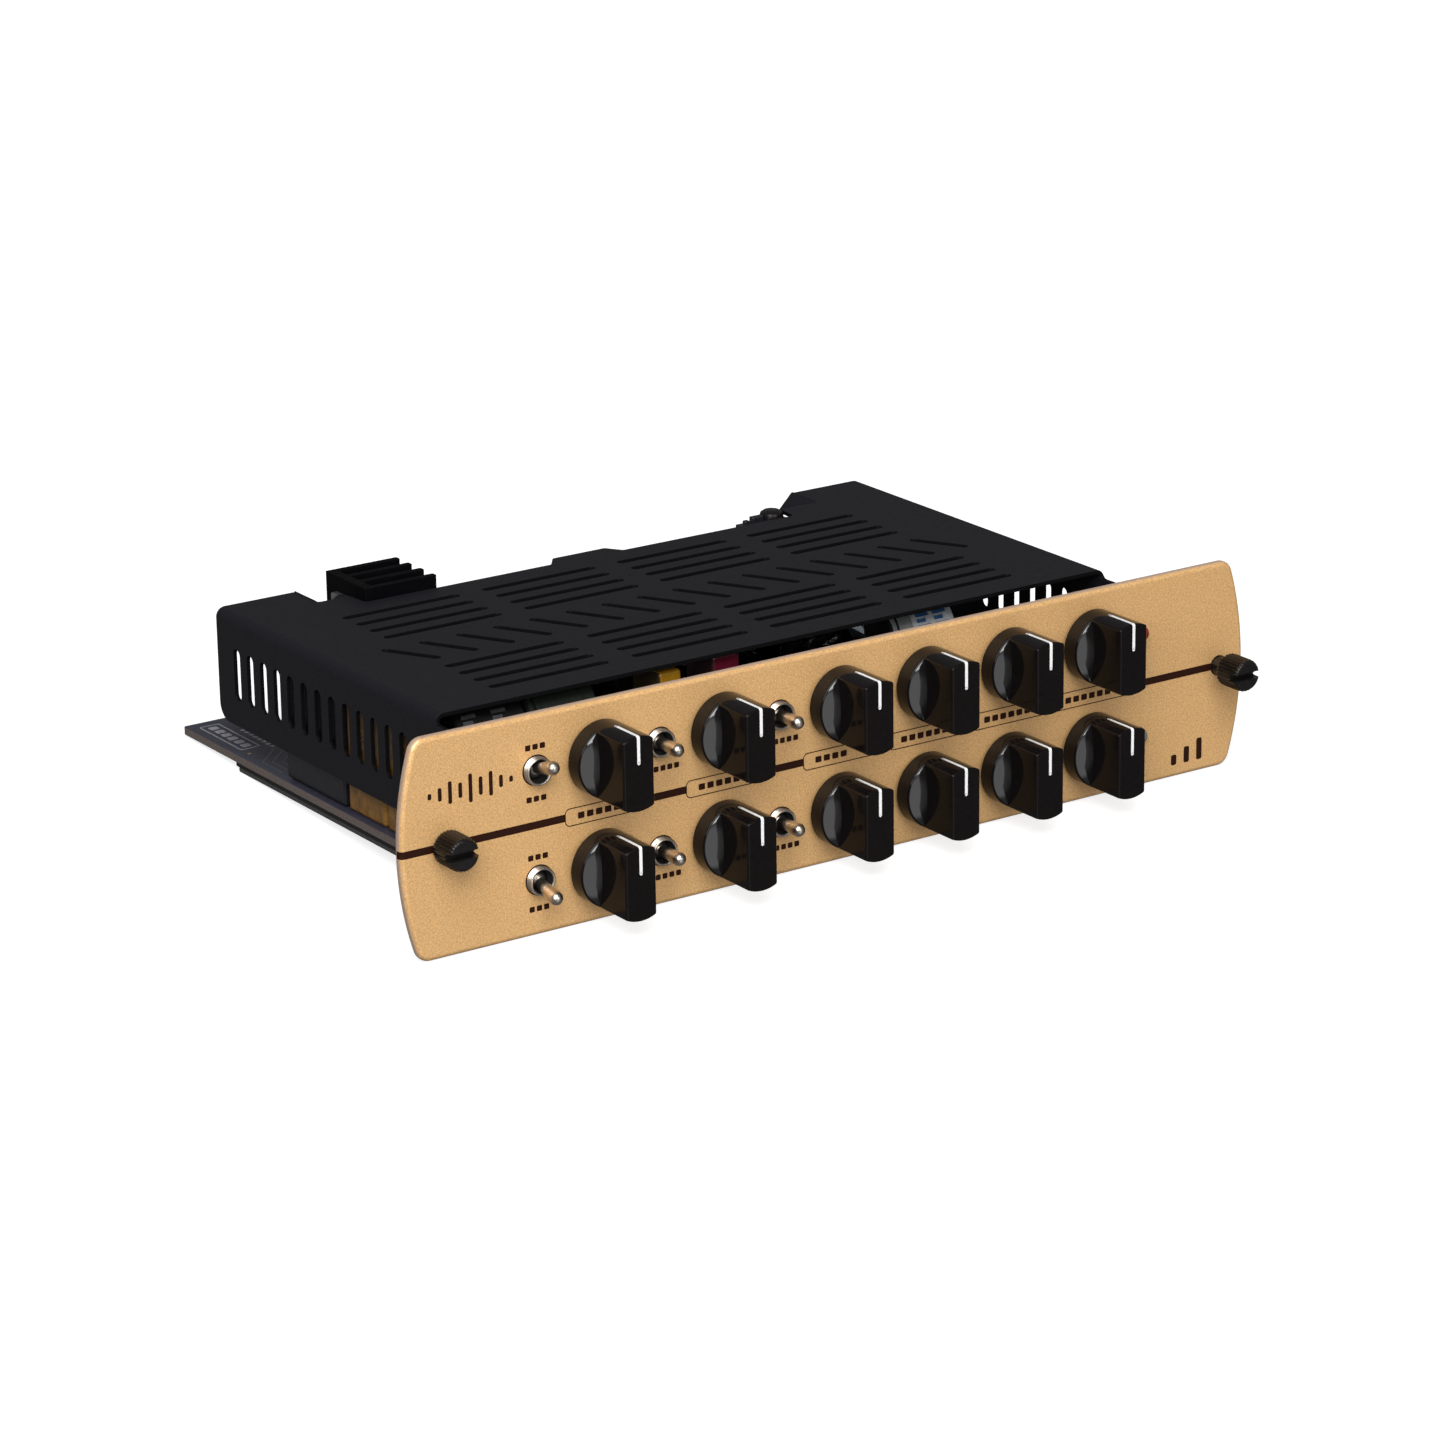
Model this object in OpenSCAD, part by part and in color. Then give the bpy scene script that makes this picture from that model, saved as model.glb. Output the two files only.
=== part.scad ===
// Plug-in preamp module: a one-unit control panel with its vented circuit tray.
// X runs along the panel, Y goes back from the panel, Z is up. The origin is the
// centre of the panel's rear face, where the panel seats on the rack's frame.

/* [Panel] */
// Width of the panel at mid height
panel_w = 200; // [198:1:206]
// Height of the panel
panel_h = 43.7; // [43.2:0.1:44.4]
// Thickness of the panel
panel_t = 2.3; // [2:0.1:2.5]
// How far the bowed ends stand out past the corners
end_bow = 3.7; // [2:0.1:5]
// Radius of the panel's corners
corner_r = 3; // [1:0.5:5]

/* [Controls] */
// Height of a control row above and below the middle
row_z = 10.85; // [10.4:0.05:11.2]
// Radius of a knob
knob_r = 7.4; // [7:0.1:7.8]
// Distance from the panel's face to the front of a knob
knob_h = 13.5; // [12.5:0.1:15]
// Distance from the panel's face to the rim of the knob's round skirt
skirt_h = 4.3; // [4.2:0.1:5]
// Width of the knob's grip bar
grip_w = 6.8; // [6.6:0.1:7.4]
// Tilt of a toggle lever either way, in degrees
lever_tilt = 15; // [10:1:16]

/* [Thumbscrews] */
// Place of the left thumbscrew along the panel
left_screw_x = -90; // [-92:0.5:-88]
// Place of the right thumbscrew along the panel
right_screw_x = 93.6; // [90:0.1:94]
// Radius of a thumbscrew's head
head_r = 3.4; // [3.2:0.1:4]
// Length of a thumbscrew's head
head_len = 6.5; // [5:0.5:8]
// How far a captive thumbscrew can travel along its axis
screw_travel = 4; // [3.5:0.5:5]
// How far the right thumbscrew is unscrewed
right_out = 2.9; // [0:0.1:3]

/* [Cover] */
// Half width of the cover
cover_hw = 79.9; // [79.2:0.1:81]
// How far the cover sits to the right of the panel's middle
cover_x = 0.7; // [0:0.1:1]
// Height of the cover's top face
cover_top = 17.8; // [17.6:0.1:19]
// Height of the lower edge of the cover's side walls
cover_low = -5.5; // [-7:0.5:-4]
// Front edge of the cover's top plate
cover_front = 19; // [18:0.1:21]
// Rear edge of the cover
cover_back = 104.7; // [103:0.1:108]
// Sheet thickness of the cover
sheet_t = 0.9; // [0.8:0.1:1.2]
// Outer bend radius of the cover
bend_r = 2; // [1.6:0.1:3]

/* [Boards] */
// Height of the main board's upper face
board_z = -12.2; // [-12.6:0.1:-12]
// Thickness of the circuit boards
board_t = 1.6; // [1.4:0.1:1.7]
// Rear edge of the main board
board_back = 122.2; // [118:0.2:126]
// Rear edge of the bottom plate
plate_back = 99.5; // [96:0.5:102]

/* [Heat sink] */
// Height of the heat sink's top
sink_top = 20; // [18.5:0.5:24]
// Number of fins
sink_fins = 4; // [3:1:5]

/* [Hidden] */
$fn = 48;
far = 200;               // longer than any piece, for cutters

// Control layout
rows = [["upper", 1], ["lower", -1]];
knob_x = [-56.3, -28.8, -1.3, 19.3, 39.9, 60.5];
knob_ids = [1, 2, 3, 4, 5, 6];
// Each toggle: name, x, row sign, resting tilt (up is positive)
toggles = [
    ["voice_upper", -70.3, 1, lever_tilt],
    ["voice_lower", -70.3, -1, -lever_tilt],
    ["bright_1_upper", -42.9, 1, 0],
    ["bright_1_lower", -42.9, -1, 0],
    ["bright_2_upper", -15.4, 1, 0],
    ["bright_2_lower", -15.4, -1, 0],
];
lamp_x = 72.8;
lamp_r = 1.6;
lamp_collar = 0.6;       // how far a lamp's barrel stands out under its dome

// Running clearance of a shaft, pivot or screw, on the radius
fit = 0.05;

// Potentiometers and knobs, measured from the panel's face
shaft_r = 3;
shaft_front = 9.5;
shaft_back = 8;
shaft_end_gap = 0.4;
barrel_r = 3.5;
barrel_front = 2.9;
nut_t = 2;
nut_flats = 10;
knob_gap = 0.5;
skirt_dome = 1.3;
knob_cavity_r = 6.2;
knob_cavity_front = 3.4;
pot_r = 7.6;
pot_back = 10.8;         // rear of the potentiometers and switches

// Toggle switches, measured from the panel's face
bushing_r = 2.8;
bushing_front = 1.5;
bore_r = 2;
mouth_r = 2.35;
mouth_len = 1;
bore_back = 5.2;
switch_w = 6.6;
switch_h = 12.6;
pivot_depth = 1.5;
ball_r = bore_r - fit;
lever_len = 7.5;
lever_root_r = 0.8;
lever_neck_r = 1.2;
lever_tip_r = 1.35;
tail_len = 2.9;
tail_r = 0.6;

// Thumbscrews, measured from the panel's face
screw_r = 2;
screw_tail = 14;
head_gap = 0.1;
head_chamfer = 0.5;
knurls = 24;
knurl_r = 0.28;
knurl_margin = 0.6;
slot_w = 1.5;
slot_depth = 2;
clip_t = 0.8;
clip_r = 3.6;
clip_gap = 0.3;          // clip to panel when fully unscrewed
clip_front = panel_t + clip_gap + screw_travel;
groove_r = 1.6;

// Cover openings
inner_hw = cover_hw - sheet_t;
tab_w = 3.8;
tab_top = 8;
wall_corner_r = 3.5;
rear_step_y = 95.6;
rear_tab_x = 61.4;       // from the cover's middle to the inner edge of a side tab
flap_drop = 3.5;
side_slots = 13;
side_slot_pitch = 5.44;
side_slot_back = 96.7;
side_slot_w = 2.6;
side_slot_z = [0.06, 10.9];
top_slot_x = [-48.7, -16, 16.6, 49.2];
top_slot_len = 27;
top_slot_w = 1.9;
top_slot_rows = 4;
top_slot_pitch = 5.37;
top_slot_groups_y = [82.7, 43.3];
bars = 16;
bars_half = 64;
bars_y = 54.4;
bar_len = 13;
bar_lean = 120;

// Tray and boards, from the front to the rear
control_front = pot_back - panel_t;
control_back = control_front + board_t;
control_hw = 74.2;
control_z = [-18.5, 17.5];
board_hw = 78.8;
notch_x = [32, 62];
notch_front = 110;
tray_hw = 78.6;
insulator_t = 1;
insulator_lip = 0.7;
plate_t = 0.9;
plate_top = board_z - board_t - insulator_t;
plate_tab_h = 6;
upper_top = 5.5;
upper_x = [-73, 48];
upper_back = 34.2;
pillar_r = 3;
pillar_x = [-60, -12, 44];
pillar_inset = 4;

// Edge contacts
fingers = 15;
finger_pitch = 3.96;
finger_w = 2.4;
finger_len = 7.5;
finger_t = 0.1;

// Heat sink and what is beside it
sink_x = [-52.1, -35.2];
sink_y = [91.3, 107.5];
sink_base_t = 2.3;
fin_t = 1.6;
regulator_y = [93.2, 103.2];
regulator_tab_t = 1.3;
regulator_body_t = 3.1;
small_head_r = 2.6;
small_head_h = 1.8;
small_screw_r = 1.5;
sink_screw_y = 98.2;
sink_screw_z = 14.8;
regulator_rim = 2;        // from the screw's axis to the top of the regulator's tab
terminal_step_z = 16.6;

// Valves and their sockets
valve_x = [2, 30];
valve_z = 2;
valve_r = 10.2;
valve_front = 44.7;
socket_front = 84.7;
socket_back = 90.7;
socket_rim = 0.8;
valve_board_margin = 10.7;
valve_board_top = 14;

// Components
can_r = 5.3;
silver_can_x = [30, 45.8];
silver_can_y = 28.3;
black_can_x = [[-72.8, -57.4], [-56.9, -41.3]];
black_can_y = 26.5;
yellow_box_x = [-27.3, -22];
red_box_x = [-14.7, -8.3];
box_y = [21.2, 31];
box_top = [15.4, 16.4];
film_y = [[42.7, 56.9], [34.7, 41.9], [24.7, 33.9]];
film_top = [11, 11, -1.4];
relay_top = 12;

/* ---- building blocks ---- */

// A cylinder along Y between two depths
module rod_y(r, y0, y1) translate([0, y1, 0]) rotate([90, 0, 0]) cylinder(h = y1 - y0, r = r);

// A cone along Y with radius r0 at y0 and r1 at y1
module cone_y(r0, r1, y0, y1)
    translate([0, y0, 0]) rotate([-90, 0, 0]) cylinder(h = y1 - y0, r1 = r0, r2 = r1);

// A cylinder along X
module rod_x(r, x, y, z)
    translate([x[0], y, z]) rotate([0, 90, 0]) cylinder(h = x[1] - x[0], r = r);

// A box between two limits on each axis
module block(x, y, z)
    translate([x[0], y[0], z[0]]) cube([x[1] - x[0], y[1] - y[0], z[1] - z[0]]);

// A flat shape drawn in X and Z, made solid between two depths
module slab_y(y0, y1) translate([0, y1, 0]) rotate([90, 0, 0]) linear_extrude(y1 - y0) children();

// Moves a piece to a place on the panel's face
module on_face(x, z) translate([x, -panel_t, z]) children();

module at_knobs() for (r = rows) for (x = knob_x) on_face(x, r[1] * row_z) children();
module at_toggles() for (t = toggles) on_face(t[1], t[2] * row_z) children();

/* ---- panel ---- */

// Straight top and bottom, bowed ends, rounded corners
module panel_outline() {
    half_h = panel_h / 2;
    bow_r = (half_h * half_h + end_bow * end_bow) / (2 * end_bow);
    bow_x = panel_w / 2 - bow_r;
    cz = half_h - corner_r;
    cx = bow_x + sqrt(pow(bow_r - corner_r, 2) - cz * cz);
    lean = atan2(cz, cx - bow_x);
    reach = 2.2 * corner_r;
    difference() {
        intersection() {
            square([panel_w + 2, panel_h], center = true);
            union() for (s = [-1, 1]) translate([s * bow_x, 0]) circle(bow_r);
        }
        for (flip_x = [0, 1]) for (flip_z = [0, 1])
            mirror([flip_x, 0]) mirror([0, flip_z]) translate([cx, cz]) difference() {
                polygon([[0, 0], [0, reach], [reach, reach], reach * [cos(lean), sin(lean)]]);
                circle(corner_r);
            }
    }
}

module front_panel() color("#d8b47e") difference() {
    slab_y(-panel_t, 0) panel_outline();
    at_knobs() rod_y(barrel_r, -1, panel_t + 1);
    at_toggles() rod_y(bushing_r, -1, panel_t + 1);
    for (r = rows) on_face(lamp_x, r[1] * row_z) rod_y(lamp_r, -1, panel_t + 1);
    for (x = [left_screw_x, right_screw_x]) on_face(x, 0) rod_y(screw_r + fit, -1, panel_t + 1);
}

/* ---- cover ---- */

// The outside of a folded sheet: upright sides and two rounded upper corners
module fold_outline(hw, top, r) {
    translate([-hw, cover_low]) square([2 * hw, top - r - cover_low]);
    translate([r - hw, cover_low]) square([2 * (hw - r), top - cover_low]);
    for (s = [-1, 1]) translate([s * (hw - r), top - r]) circle(r);
}

module cover_profile() difference() {
    fold_outline(cover_hw, cover_top, bend_r);
    fold_outline(inner_hw, cover_top - sheet_t, bend_r - sheet_t);
}

// The rear edge: side tabs, clearance for the heat sink and the terminal, a middle tab
module rear_cutout() {
    edge_y = 89.9;
    middle_y = 93.5;
    left = cover_x - rear_tab_x;
    right = cover_x + rear_tab_x;
    polygon([
        [left, far], [left, rear_step_y], [-53.4, rear_step_y], [-52.9, edge_y],
        [-8.6, edge_y], [-6, middle_y], [6.8, middle_y], [9.2, edge_y],
        [52.5, edge_y], [53, rear_step_y], [right, rear_step_y], [right, far],
    ]);
}

// A flap bent down by 45 degrees from the inner edge of a side tab
module rear_flap() translate([cover_x + rear_tab_x, 0, cover_top])
    slab_y(rear_step_y, cover_back) polygon([
        [1, 0], [0, 0], [-flap_drop, -flap_drop], [-flap_drop, -flap_drop - sheet_t],
        [0, -sheet_t], [1, -sheet_t],
    ]);

// A slot with round ends, along X, cut through a level sheet
module level_slot(len, w) {
    h = 3 * sheet_t;
    cube([len - w, w, h], center = true);
    for (s = [-1, 1]) translate([s * (len - w) / 2, 0, 0]) cylinder(h = h, d = w, center = true);
}

// An upright slot with round ends, cut through both side walls
module side_slot(y) {
    r = side_slot_w / 2;
    ends = [side_slot_z[0] + r, side_slot_z[1] - r];
    block([-far, far], [y - r, y + r], ends);
    for (z = ends) rod_x(r, [-far, far], y, z);
}

module top_slots()
    for (x = top_slot_x) for (y = top_slot_groups_y) for (i = [0:top_slot_rows - 1])
        translate([x, y - i * top_slot_pitch, cover_top]) level_slot(top_slot_len, top_slot_w);

// A row of slanted bars across the middle of the top plate
module slanted_bars() {
    pitch = 2 * bars_half / (bars - 1);
    for (i = [0:bars - 1]) translate([i * pitch - bars_half, bars_y, cover_top])
        rotate([0, 0, bar_lean]) level_slot(bar_len, top_slot_w);
}

// Rounds the lower rear corner of both side walls
module wall_corners() {
    y = cover_back - wall_corner_r;
    z = cover_low + wall_corner_r;
    difference() {
        block([-far, far], [y, far], [-far, z]);
        rod_x(wall_corner_r, [-far - 1, far + 1], y, z);
    }
}

module vented_sheet() difference() {
    translate([cover_x, 0, 0]) {
        slab_y(0, cover_back) cover_profile();
        for (s = [-1, 1]) translate([s * (inner_hw - tab_w / 2), 0, 0])
            block([-tab_w / 2, tab_w / 2], [0, sheet_t], [cover_low, tab_top]);
    }
    block([-far, far], [-1, cover_front], [cover_top - bend_r, far]);
    translate([0, 0, cover_top - bend_r]) linear_extrude(2 * bend_r) rear_cutout();
    for (i = [0:side_slots - 1]) side_slot(side_slot_back - i * side_slot_pitch);
    translate([cover_x, 0, 0]) {
        top_slots();
        slanted_bars();
    }
    wall_corners();
}

module cover() color("#1c1c1e") {
    vented_sheet();
    rear_flap();
    translate([2 * cover_x, 0, 0]) mirror([1, 0, 0]) rear_flap();
}

/* ---- tray and boards ---- */

// A sheet with two arms that reach forward and turn up behind the panel
module bottom_plate() color("#2a2a2c") {
    block([-tray_hw, tray_hw], [control_back, plate_back], [plate_top - plate_t, plate_top]);
    for (s = [-1, 1]) translate([s * (tray_hw - tab_w / 2), 0, plate_top]) {
        block([-tab_w / 2, tab_w / 2], [0, control_back], [-plate_t, 0]);
        block([-tab_w / 2, tab_w / 2], [0, plate_t], [0, plate_tab_h]);
    }
}

module insulator_sheet() color("#111113")
    block([-tray_hw, tray_hw], [control_back, plate_back + insulator_lip],
          [plate_top, plate_top + insulator_t]);

// The rear edge has a notch on each side of the tongue with the edge contacts
module main_board() color("#3a3b4a") difference() {
    block([-board_hw, board_hw], [control_back, board_back], [board_z - board_t, board_z]);
    for (m = [0, 1]) mirror([m, 0, 0]) block(notch_x, [notch_front, far], [-far, far]);
}

module edge_contacts() color("#caa24a")
    for (i = [0:fingers - 1]) for (z = [board_z, board_z - board_t - finger_t])
        translate([(i - (fingers - 1) / 2) * finger_pitch, board_back, z])
            block([-finger_w / 2, finger_w / 2], [-finger_len, 0], [0, finger_t]);

module control_board() color("#24402c")
    block([-control_hw, control_hw], [control_front, control_back], control_z);

module upper_board() color("#24402c")
    block(upper_x, [control_back, upper_back], [upper_top - board_t, upper_top]);

module board_pillars() color("#b9bcc0")
    for (x = pillar_x)
        translate([x, upper_back - pillar_inset, board_z])
            cylinder(h = upper_top - board_t - board_z, r = pillar_r, $fn = 6);

/* ---- potentiometers, shafts and knobs ---- */

module pot_bodies() color("#8d9094") at_knobs() difference() {
    union() {
        rod_y(pot_r, panel_t, pot_back);
        rod_y(barrel_r, -barrel_front, panel_t);
    }
    rod_y(shaft_r + fit, -barrel_front - 1, shaft_back + shaft_end_gap);
}

module pot_nuts() color("#c9ccd0") at_knobs() difference() {
    rotate([90, 0, 0]) cylinder(h = nut_t, d = nut_flats / cos(30), $fn = 6);
    rod_y(barrel_r, -nut_t - 1, 1);
}

module shaft() rod_y(shaft_r, -shaft_front, shaft_back);

// A round skirt with a slightly domed front
module knob_skirt() {
    dome_r = (knob_r * knob_r + skirt_dome * skirt_dome) / (2 * skirt_dome);
    intersection() {
        rod_y(knob_r, -skirt_h - skirt_dome, -knob_gap);
        translate([0, dome_r - skirt_h - skirt_dome, 0]) sphere(r = dome_r, $fn = 180);
    }
}

// A knob with a round skirt and an upright grip bar, hollow behind for the nut
module knob() difference() {
    union() {
        knob_skirt();
        intersection() {
            rod_y(knob_r, -knob_h, -knob_gap);
            block([-grip_w / 2, grip_w / 2], [-knob_h, 0], [-knob_r, knob_r]);
        }
    }
    rod_y(knob_cavity_r, -knob_cavity_front, 0);
    rod_y(shaft_r, -shaft_front, 0);
}

/* ---- toggle switches ---- */

module switch_bushings() color("#d5d7da") at_toggles() difference() {
    rod_y(bushing_r, -bushing_front, panel_t);
    rod_y(bore_r, -bushing_front - 1, panel_t + 1);
    cone_y(mouth_r, bore_r, -bushing_front, mouth_len - bushing_front);
}

module switch_bodies() color("#23364f") at_toggles() difference() {
    block([-switch_w / 2, switch_w / 2], [panel_t, pot_back], [-switch_h / 2, switch_h / 2]);
    rod_y(bore_r, 0, bore_back);
}

// A bat lever on its pivot ball, tilted up by the given angle
module lever(tilt) translate([0, pivot_depth, 0]) rotate([-tilt, 0, 0]) {
    sphere(ball_r);
    cone_y(lever_neck_r, lever_root_r, -lever_len, 0);
    translate([0, -lever_len, 0]) sphere(lever_tip_r);
    rod_y(tail_r, 0, tail_len);
}

/* ---- lamps ---- */

module lamp() {
    rod_y(lamp_r, -lamp_collar, pot_back);
    translate([0, -lamp_collar, 0]) sphere(lamp_r);
}

module lamp_red() color("#9c1512") on_face(lamp_x, row_z) lamp();
module lamp_grey() color("#8b8d92") on_face(lamp_x, -row_z) lamp();

/* ---- thumbscrews ---- */

// The knurled head, its screwdriver slot across the front
module screw_head() difference() {
    union() {
        rod_y(head_r, head_chamfer - head_len, -head_gap);
        cone_y(head_r - head_chamfer, head_r, -head_len, head_chamfer - head_len);
    }
    for (i = [0:knurls - 1]) rotate([0, i * 360 / knurls, 0]) translate([head_r, 0, 0])
        rod_y(knurl_r, knurl_margin - head_len, -knurl_margin);
    block([-far, far], [-far, slot_depth - head_len], [-slot_w / 2, slot_w / 2]);
}

// The threaded shank, with a groove for the clip
module screw_shank() difference() {
    rod_y(screw_r, -head_gap, screw_tail);
    difference() {
        rod_y(2 * screw_r, clip_front - fit, clip_front + clip_t + fit);
        rod_y(groove_r, 0, screw_tail);
    }
}

// A captive screw; out is how far it is unscrewed
module thumbscrew(out) translate([0, -out, 0]) {
    screw_head();
    screw_shank();
}

// The clip that keeps the screw captive behind the panel
module screw_clip(out) translate([0, -out, 0]) difference() {
    rod_y(clip_r, clip_front, clip_front + clip_t);
    rod_y(groove_r + fit, 0, screw_tail);
}

module thumbscrew_left() color("#161617") on_face(left_screw_x, 0) thumbscrew(0);
module thumbscrew_right() color("#161617") on_face(right_screw_x, 0) thumbscrew(right_out);
module screw_clip_left() color("#9a9da1") on_face(left_screw_x, 0) screw_clip(0);
module screw_clip_right() color("#9a9da1") on_face(right_screw_x, 0) screw_clip(right_out);

/* ---- heat sink and rear pieces ---- */

// Upright fins on an upright base plate
module heat_sink() color("#2b2b2d") translate([0, 0, board_z]) linear_extrude(sink_top - board_z) {
    depth = sink_y[1] - sink_y[0];
    pitch = (depth - fin_t) / (sink_fins - 1);
    translate([sink_x[0], sink_y[0]]) square([sink_base_t, depth]);
    for (i = [0:sink_fins - 1]) translate([sink_x[0], sink_y[0] + i * pitch])
        square([sink_x[1] - sink_x[0], fin_t]);
}

module regulator() color("#1d1d20") difference() {
    tab_x = sink_x[0] - regulator_tab_t;
    union() {
        block([tab_x, sink_x[0]], regulator_y, [2, sink_screw_z + regulator_rim]);
        block([tab_x - regulator_body_t, tab_x], regulator_y, [board_z, 8]);
    }
    rod_x(small_screw_r, [tab_x - 1, sink_x[0] + 1], sink_screw_y, sink_screw_z);
}

module ground_terminal() color("#202022") {
    block([41, 47.4], [91.3, 95.1], [board_z, terminal_step_z]);
    block([44.5, 47.4], [93.6, 95.1], [terminal_step_z, cover_top]);
    block([41, 42.2], [91.3, 92.5], [terminal_step_z, 18.1]);
    block([47.4, 53], [92.1, 97.7], [board_z, terminal_step_z]);
}

// The regulator's screw and the ground terminal's screw
module rear_screws() color("#b4b7bb") {
    x = sink_x[0] - regulator_tab_t;
    rod_x(small_head_r, [x - small_head_h, x], sink_screw_y, sink_screw_z);
    rod_x(small_screw_r, [x, sink_x[0]], sink_screw_y, sink_screw_z);
    translate([50.2, 94.9, terminal_step_z]) cylinder(h = small_head_h, r = small_head_r);
}

/* ---- valves ---- */

// Two glass valves lying side by side, domed at the front with a sealed tip
module valves() color("#c9d2d6") for (x = valve_x) translate([x, 0, valve_z]) {
    dome_front = valve_front - valve_r;
    rod_y(valve_r, valve_front, socket_front);
    translate([0, valve_front, 0]) sphere(valve_r);
    rod_y(1.6, dome_front - 2.4, dome_front + 2);
}

module valve_sockets() color("#e6e2d8") for (x = valve_x) translate([x, 0, valve_z])
    rod_y(valve_r + socket_rim, socket_front, socket_back);

module valve_board() color("#24402c")
    block([valve_x[0] - valve_board_margin, valve_x[1] + valve_board_margin],
          [socket_back, socket_back + board_t], [board_z, valve_board_top]);

/* ---- components ---- */

module relay_box() color("#141416") block([-77.5, -58], [57.7, 80.7], [board_z, relay_top]);

module film_capacitors() color("#4b2f1d")
    for (i = [0:len(film_y) - 1]) block([-77.2, -67], film_y[i], [board_z, film_top[i]]);

// Electrolytic capacitors lying on the upper board, one silver and two black
module can_capacitors() {
    color("#c4c9cf") rod_x(can_r, silver_can_x, silver_can_y, upper_top + can_r);
    color("#26282a") for (x = black_can_x) rod_x(can_r, x, black_can_y, upper_top + can_r);
}

// A yellow and a red capacitor standing on the upper board
module box_capacitors() {
    color("#c99a22") block(yellow_box_x, box_y, [upper_top, box_top[0]]);
    color("#7d1f22") block(red_box_x, box_y, [upper_top, box_top[1]]);
}

front_panel();
cover();
bottom_plate();
insulator_sheet();
main_board();
edge_contacts();
control_board();
upper_board();
board_pillars();
pot_bodies();
pot_nuts();
switch_bushings();
switch_bodies();
lamp_red();
lamp_grey();
heat_sink();
regulator();
ground_terminal();
rear_screws();
valves();
valve_sockets();
valve_board();
relay_box();
film_capacitors();
can_capacitors();
box_capacitors();
thumbscrew_left();
thumbscrew_right();
screw_clip_left();
screw_clip_right();
for (r = rows) for (i = knob_ids)
    color("#1a1a1b") on_face(knob_x[i - 1], r[1] * row_z) knob();
for (r = rows) for (i = knob_ids)
    color("#b9bcc0") on_face(knob_x[i - 1], r[1] * row_z) shaft();
for (t = toggles)
    color("#d9dbde") on_face(t[1], t[2] * row_z) lever(t[3]);
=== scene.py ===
"""Looks for the plug-in preamp module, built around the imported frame."""
import random
from math import asin, atan2, copysign, cos, hypot, pi as PI, radians, sin, sqrt, tan

import bmesh
import bpy
from mathutils import Matrix, Vector


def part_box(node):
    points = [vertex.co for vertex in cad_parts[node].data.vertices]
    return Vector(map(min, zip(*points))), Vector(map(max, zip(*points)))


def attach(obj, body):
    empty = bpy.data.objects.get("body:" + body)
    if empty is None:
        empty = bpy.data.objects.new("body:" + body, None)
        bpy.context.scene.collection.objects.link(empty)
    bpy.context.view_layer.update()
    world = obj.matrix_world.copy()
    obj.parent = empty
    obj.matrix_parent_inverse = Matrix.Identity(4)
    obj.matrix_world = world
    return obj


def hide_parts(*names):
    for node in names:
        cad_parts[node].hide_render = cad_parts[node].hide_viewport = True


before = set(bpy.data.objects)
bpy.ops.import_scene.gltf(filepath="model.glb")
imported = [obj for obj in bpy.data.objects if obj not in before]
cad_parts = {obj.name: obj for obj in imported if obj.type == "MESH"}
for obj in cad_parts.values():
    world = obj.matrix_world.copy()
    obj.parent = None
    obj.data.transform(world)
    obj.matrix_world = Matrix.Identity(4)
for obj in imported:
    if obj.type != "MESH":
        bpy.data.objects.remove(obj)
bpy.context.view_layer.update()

MM = 0.001
random.seed(7)
scene = bpy.context.scene


def span(node):
    """Lowest and highest corner of a CAD node, in millimetres."""
    lo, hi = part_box(node)
    return Vector(lo) / MM, Vector(hi) / MM


def middle(node):
    lo, hi = span(node)
    return (lo + hi) / 2


def limits(node):
    """A CAD node's lowest and highest x, y and z, as three pairs."""
    return list(zip(*span(node)))


# ---- camera

LENS_MM = 122.45
SENSOR_MM = 36.0
CAMERA_AT = Vector((-523.0, -738.4, 305.9)) * MM
CAMERA_AZIMUTH = -33.894
CAMERA_ELEVATION = 18.344
CAMERA_ROLL = -0.860


def make_camera():
    az, el = radians(CAMERA_AZIMUTH), radians(CAMERA_ELEVATION)
    back = Vector((sin(az) * cos(el), -cos(az) * cos(el), sin(el)))
    right = (-back).cross(Vector((0, 0, 1))).normalized()
    up = right.cross(-back)
    roll = radians(CAMERA_ROLL)
    x_axis = right * cos(roll) + up * sin(roll)
    y_axis = up * cos(roll) - right * sin(roll)
    turn = Matrix((x_axis, y_axis, back)).transposed().to_4x4()
    data = bpy.data.cameras.new("camera")
    data.sensor_width = SENSOR_MM
    data.lens = LENS_MM
    data.clip_start = 0.01
    camera = bpy.data.objects.new("camera", data)
    camera.matrix_world = Matrix.Translation(CAMERA_AT) @ turn
    scene.collection.objects.link(camera)
    scene.camera = camera


make_camera()

# ---- materials


def add_node(tree, kind, **inputs):
    """A new shader node with some inputs set; _ in an input's name stands for a space."""
    node = tree.nodes.new("ShaderNode" + kind)
    for key, value in inputs.items():
        node.inputs[key.replace("_", " ")].default_value = value
    return node


def noise(mat, scale):
    """A noise texture in object space; scale is in features per metre."""
    tree = mat.node_tree
    coords = add_node(tree, "TexCoord")
    texture = add_node(tree, "TexNoise", Scale=scale, Detail=3.0, Roughness=0.6)
    tree.links.new(coords.outputs["Object"], texture.inputs["Vector"])
    return texture.outputs["Fac"]


def ramp(mat, value, stops):
    """Maps a value to colours; stops are (place, colour) pairs."""
    node = add_node(mat.node_tree, "ValToRGB")
    while len(node.color_ramp.elements) < len(stops):
        node.color_ramp.elements.new(0.5)
    for element, (place, colour) in zip(node.color_ramp.elements, stops):
        element.position = place
        element.color = (*colour, 1)
    mat.node_tree.links.new(value, node.inputs["Fac"])
    return node.outputs["Color"]


def wire(mat, value, socket):
    mat.node_tree.links.new(value, mat.node_tree.nodes["Principled BSDF"].inputs[socket])


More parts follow.
